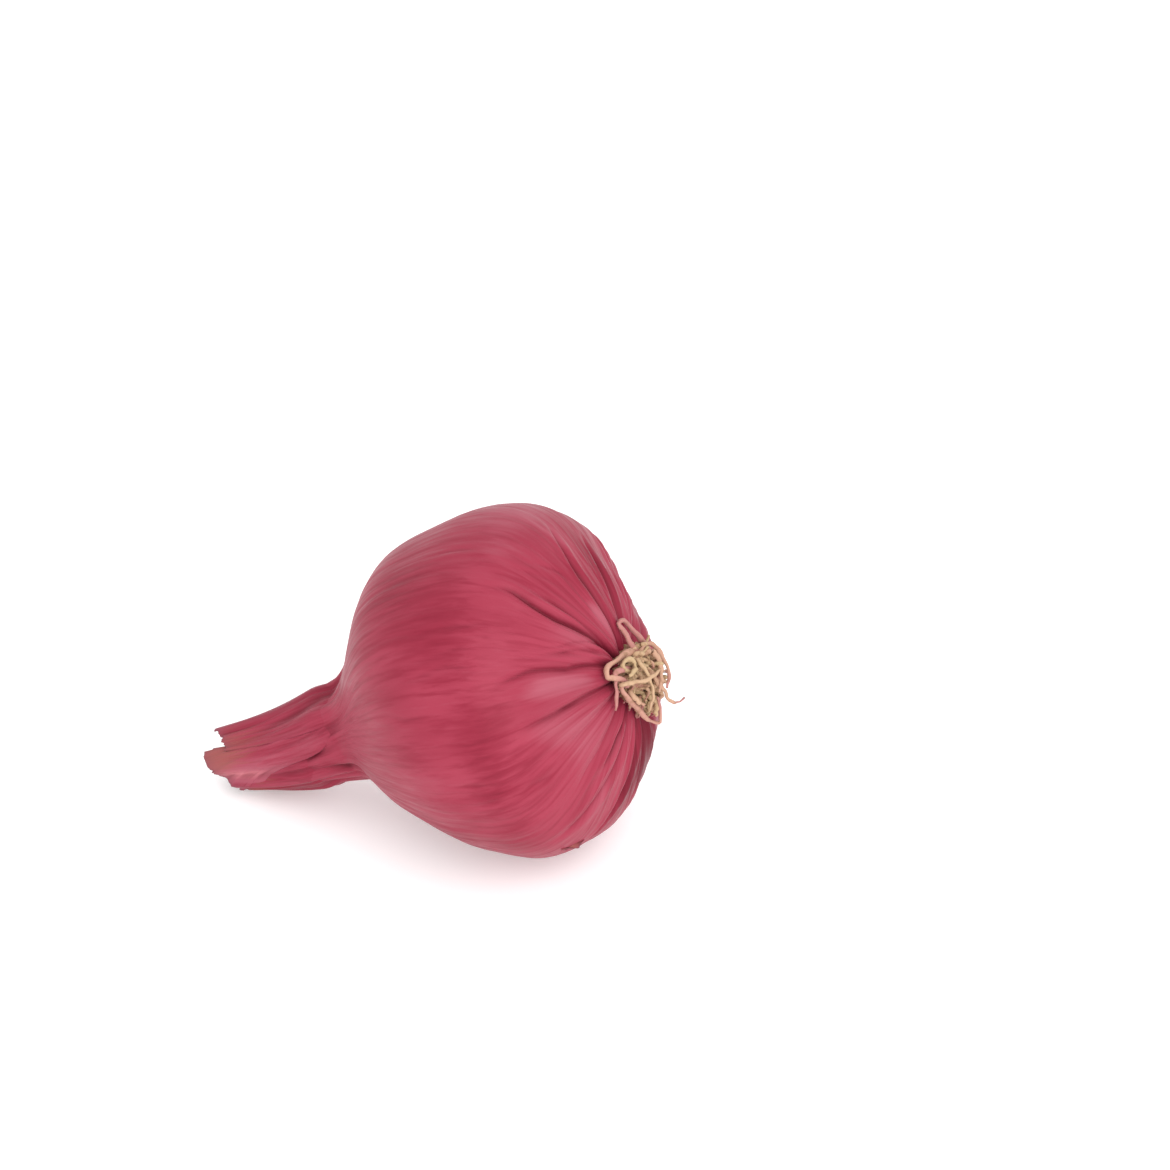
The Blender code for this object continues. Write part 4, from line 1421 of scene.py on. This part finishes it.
def sway(tree, value, reach):
    """How far a noise is from its middle value, times the reach."""
    return maths(tree, "MULTIPLY", maths(tree, "SUBTRACT", value, 0.5), reach)


def relief_normal(tree, height, strength, distance):
    """The surface's normal where a height is pressed into it."""
    inputs = {"Strength": strength, "Distance": distance, "Height": height}
    return add_node(tree, "Bump", inputs).outputs["Normal"]


def opaque(colour):
    """A colour with full alpha."""
    return (*colour, 1.0)


def skin_material(name, settings, neck_settings):
    """Papery red skin: streaks along the fibres, painted shade in creases, pale and dry parts, a satin
    sheen.

    Three noises and the blotches vary the skin colour. Then the tone, made uneven by two of them, takes
    it to the streak and crease colours on one side, and to pale and bleached on the other; besides the
    skin's own patches it holds painted shade below the root tuft and the neck's wrap, and a painted
    highlight low on the root end. The crease attribute lays painted shade in creases, folds and the
    neck's hollow, and a painted highlight on skin raised beside the folds. Dry parts and thin edges are
    laid over that. Each layer is the share of it that shows, most often a value eased between two limits
    up to a largest share, and its colour.
    """
    made, tree, shader = new_material(name)
    fibre = attribute(tree, "fibre", "Vector")
    crease = attribute(tree, "crease")
    dry = attribute(tree, "dry")
    edge = attribute(tree, "edge")
    tone = attribute(tree, "tone")
    fine = noise(tree, fibre, FINE_STREAKS, detail=4.0)
    medium = noise(tree, fibre, STREAKS, distortion=0.3)
    broad = noise(tree, fibre, BROAD_STREAKS, detail=2.0, distortion=0.5)
    patches = noise(tree, fibre, BLOTCHES, detail=2.0)
    streak = opaque(settings.streak_and_shade_colour)
    pale = opaque(settings.pale_and_highlight_colour)
    deep = opaque(settings.crease_shade_colour)
    bleached = opaque(settings.bleached_colour)

    uneven = maths(tree, "ADD", tone, sway(tree, broad, 1.2))
    mottled = maths(tree, "ADD", uneven, sway(tree, medium, 2.1))
    paled = maths(tree, "ADD", uneven, sway(tree, medium, 0.6))
    parched = maths(tree, "ADD", dry, sway(tree, medium, 1.1))
    puffed = maths(tree, "MULTIPLY", crease, -1.0)
    dry_share = spread_to(tree, parched, 0.3, 1.0, 0.0, 0.85)
    layers = [
        (spread_to(tree, medium, 0.45, 0.72, 0.0, 0.5), streak),
        (spread_to(tree, broad, 0.45, 0.7, 0.0, 0.4), streak),
        (spread_to(tree, fine, 0.5, 0.75, 0.0, 0.16), pale),
        (spread_to(tree, patches, 0.45, 0.65, 0.0, 0.35), streak),
        # Darker with the tone, which holds painted shade below the root tuft and the neck's wrap as well
        # as the skin's own patches
        (spread_to(tree, mottled, 0.05, 1.25, 0.0, 0.95), streak),
        # Paler with the tone, which holds a painted highlight low on the root end besides the skin's pale
        # parts
        (spread_to(tree, paled, -0.05, -1.05, 0.0, 0.8), pale),
        (spread_to(tree, paled, -1.05, -2.4, 0.0, 0.8), bleached),
        # Painted shade in the crease colour where the tone is highest, as below the root tuft
        (spread_to(tree, mottled, 0.9, 2.4, 0.0, 0.9), deep),
        # Painted shade in the creases, the folds and the neck's hollow
        (spread_to(tree, crease, 0.08, 1.0, 0.0, 0.9), deep),
        # Painted highlight on the skin raised beside the folds and on the leaves' ridges
        (spread_to(tree, puffed, 0.05, 0.45, 0.0, 0.2), pale),
        (dry_share, opaque(neck_settings.dry_colour)),
        (maths(tree, "MULTIPLY", edge, 0.8), opaque(neck_settings.edge_colour)),
    ]
    colour = opaque(settings.base_colour)
    for share, over in layers:
        colour = mix_colour(tree, share, colour, over)

    rough = spread_to(tree, fine, 0.3, 0.7, 0.38, 0.56)
    relief = maths(tree, "ADD", fine, maths(tree, "MULTIPLY", medium, 0.8))
    looks = {
        "Base Color": colour,
        "Roughness": maths(tree, "ADD", rough, maths(tree, "MULTIPLY", dry_share, 0.2)),
        "Normal": relief_normal(tree, relief, 0.3, 0.1 * MM),
        "Sheen Weight": 0.05,
        "Sheen Roughness": 0.45,
        "Sheen Tint": (1.0, 0.82, 0.86, 1.0),
        "Specular IOR Level": 0.14,
    }
    set_inputs(tree, shader, looks)
    return made


def root_material(settings, name="dry root"):
    """Dry straw: mottled tan, pinkish tips, painted shade where the strands leave the plate."""
    made, tree, shader = new_material(name)
    where = add_node(tree, "TexCoord").outputs["Object"]
    along = attribute(tree, "along")
    tone = attribute(tree, "tone")
    mottle = noise(tree, where, (900.0, 900.0, 900.0))
    grain = noise(tree, where, (3200.0, 3200.0, 3200.0), detail=2.0)
    deep = opaque(settings.mottle_and_shade_colour)

    near_tip = spread_to(tree, along, 0.55, 1.0)
    tip_share = maths(tree, "MULTIPLY", near_tip, spread_to(tree, tone, 0.75, 0.2))
    tip_share = maths(tree, "MAXIMUM", tip_share, attribute(tree, "pink"))
    layers = [
        (spread_to(tree, tone, 0.35, 0.9, 0.0, 0.7), opaque(settings.greenish_colour)),
        (tip_share, opaque(settings.tip_colour)),
        (spread_to(tree, mottle, 0.5, 0.75, 0.0, 0.55), deep),
        # Painted shade where the strands leave the plate, and on the plate
        (spread_to(tree, along, 0.3, 0.0, 0.0, 0.75), deep),
    ]
    colour = opaque(settings.straw_colour)
    for share, over in layers:
        colour = mix_colour(tree, share, colour, over)

    relief = maths(tree, "ADD", mottle, maths(tree, "MULTIPLY", grain, 0.5))
    looks = {
        "Base Color": colour,
        "Roughness": 0.78,
        "Normal": relief_normal(tree, relief, 0.7, 0.2 * MM),
    }
    set_inputs(tree, shader, looks)
    return made


def floor_material(settings):
    """A plain pale matt floor, with the faintest cloudiness."""
    made, tree, shader = new_material("pale floor")
    where = add_node(tree, "TexCoord").outputs["Object"]
    cloud = noise(tree, where, (3.0, 3.0, 3.0))
    plain = opaque(settings.floor_colour)
    shade = opaque([0.985 * c for c in settings.floor_colour])
    looks = {
        "Base Color": mix_colour(tree, cloud, plain, shade),
        "Roughness": 0.9,
        "Specular IOR Level": 0.1,
        "Emission Color": (1.0, 1.0, 1.0, 1.0),
        "Emission Strength": FLOOR_GLOW,
    }
    set_inputs(tree, shader, looks)
    return made


# Stage


def build_key_light(settings, aim):
    """A large square soft light above the right of the camera, looking at the onion."""
    data = bpy.data.lights.new("key", "AREA")
    data.energy = settings.key_power
    data.size = KEY_SIDE
    light = bpy.data.objects.new("key", data)
    bpy.context.scene.collection.objects.link(light)
    light.location = KEY_PLACE
    light.rotation_euler = (Vector(aim) - Vector(KEY_PLACE)).to_track_quat("-Z", "Y").to_euler()


def build_floor(settings):
    """A square floor just under the onion."""
    corners = [(x * FLOOR_HALF, y * FLOOR_HALF, -FLOOR_DROP) for x, y in FLOOR_CORNERS]
    mesh = bpy.data.meshes.new("floor")
    mesh.from_pydata(corners, [], [(0, 1, 2, 3)])
    mesh.materials.append(floor_material(settings))
    floor = bpy.data.objects.new("floor", mesh)
    bpy.context.scene.collection.objects.link(floor)


def build_camera(settings, middle):
    """The camera at the viewing angle, aimed so that the onion sits left of the picture's middle."""
    turned, raised = math.radians(CAMERA_TURN_DEG), math.radians(CAMERA_HEIGHT_DEG)
    back = Vector(
        (math.sin(turned) * math.cos(raised), -math.cos(turned) * math.cos(raised), math.sin(raised))
    )
    right = Vector((math.cos(turned), math.sin(turned), 0.0))
    up = back.cross(right)
    data = bpy.data.cameras.new("camera")
    data.sensor_width = SENSOR_WIDTH_MM
    data.lens = settings.lens
    data.clip_start = 0.05
    camera = bpy.data.objects.new("camera", data)
    bpy.context.scene.collection.objects.link(camera)
    camera.location = Vector(middle) + AIM_RIGHT * right + AIM_UP * up + CAMERA_DISTANCE * back
    camera.rotation_mode = "QUATERNION"
    camera.rotation_quaternion = (-back).to_track_quat("-Z", "Y")
    bpy.context.scene.camera = camera


def build_stage(settings):
    """Floor, camera, white surroundings and one large soft light."""
    middle = belly_place()
    build_floor(settings)
    build_camera(settings, middle)
    build_key_light(settings, middle)
    world = bpy.data.worlds.new("white room")
    world.use_nodes = True
    background = world.node_tree.nodes["Background"]
    background.inputs["Color"].default_value = (1.0, 1.0, 1.0, 1.0)
    background.inputs["Strength"].default_value = settings.sky_strength
    bpy.context.scene.world = world
    bpy.context.scene.view_settings.view_transform = "Standard"


# Operators and panel


class ONION_OT_skin(bpy.types.Operator):
    """Builds the bulb's papery skin and its torn flake."""

    bl_idname = "onion.skin"
    bl_label = "Skin"

    def execute(self, context):
        build_skin(context.scene.onion_skin, context.scene.onion_neck)
        build_flake(context.scene.onion_skin, context.scene.onion_neck)
        return {"FINISHED"}


class ONION_OT_neck(bpy.types.Operator):
    """Builds the dry leaves round the neck."""

    bl_idname = "onion.neck"
    bl_label = "Neck leaves"

    def execute(self, context):
        build_neck(context.scene.onion_neck, context.scene.onion_skin)
        return {"FINISHED"}


class ONION_OT_roots(bpy.types.Operator):
    """Builds the stem plate and its roots."""

    bl_idname = "onion.roots"
    bl_label = "Stem plate and roots"

    def execute(self, context):
        build_plate(context.scene.onion_roots)
        build_roots(context.scene.onion_roots)
        return {"FINISHED"}


class ONION_OT_stage(bpy.types.Operator):
    """Builds the floor, the lights and the camera."""

    bl_idname = "onion.stage"
    bl_label = "Stage"

    def execute(self, context):
        build_stage(context.scene.onion_stage)
        return {"FINISHED"}


class ONION_PT_panel(bpy.types.Panel):
    """Lists the builders with their settings."""

    bl_idname = "ONION_PT_panel"
    bl_label = "Red Onion"
    bl_space_type = "VIEW_3D"
    bl_region_type = "UI"
    bl_category = "Red Onion"

    def draw(self, context):
        for group_name, operator in GROUPS:
            group = getattr(context.scene, group_name)
            box = self.layout.box()
            for setting in group.bl_rna.properties:
                if not setting.is_readonly and setting.identifier != "name":
                    box.prop(group, setting.identifier)
            box.operator(operator.bl_idname)


GROUPS = [
    ("onion_skin", ONION_OT_skin),
    ("onion_neck", ONION_OT_neck),
    ("onion_roots", ONION_OT_roots),
    ("onion_stage", ONION_OT_stage),
]
SETTINGS = {
    "onion_skin": SkinSettings,
    "onion_neck": NeckSettings,
    "onion_roots": RootSettings,
    "onion_stage": StageSettings,
}


def register():
    """Registers the settings, the builders and the panel."""
    for name, group in SETTINGS.items():
        bpy.utils.register_class(group)
        setattr(bpy.types.Scene, name, bpy.props.PointerProperty(type=group))
    for _, operator in GROUPS:
        bpy.utils.register_class(operator)
    bpy.utils.register_class(ONION_PT_panel)


def unregister():
    """Takes back what register did, in the opposite order."""
    bpy.utils.unregister_class(ONION_PT_panel)
    for _, operator in reversed(GROUPS):
        bpy.utils.unregister_class(operator)
    for name, group in reversed(SETTINGS.items()):
        delattr(bpy.types.Scene, name)
        bpy.utils.unregister_class(group)


def main():
    register()
    bpy.ops.onion.skin()
    bpy.ops.onion.neck()
    bpy.ops.onion.roots()
    bpy.ops.onion.stage()


if __name__ == "__main__":
    main()
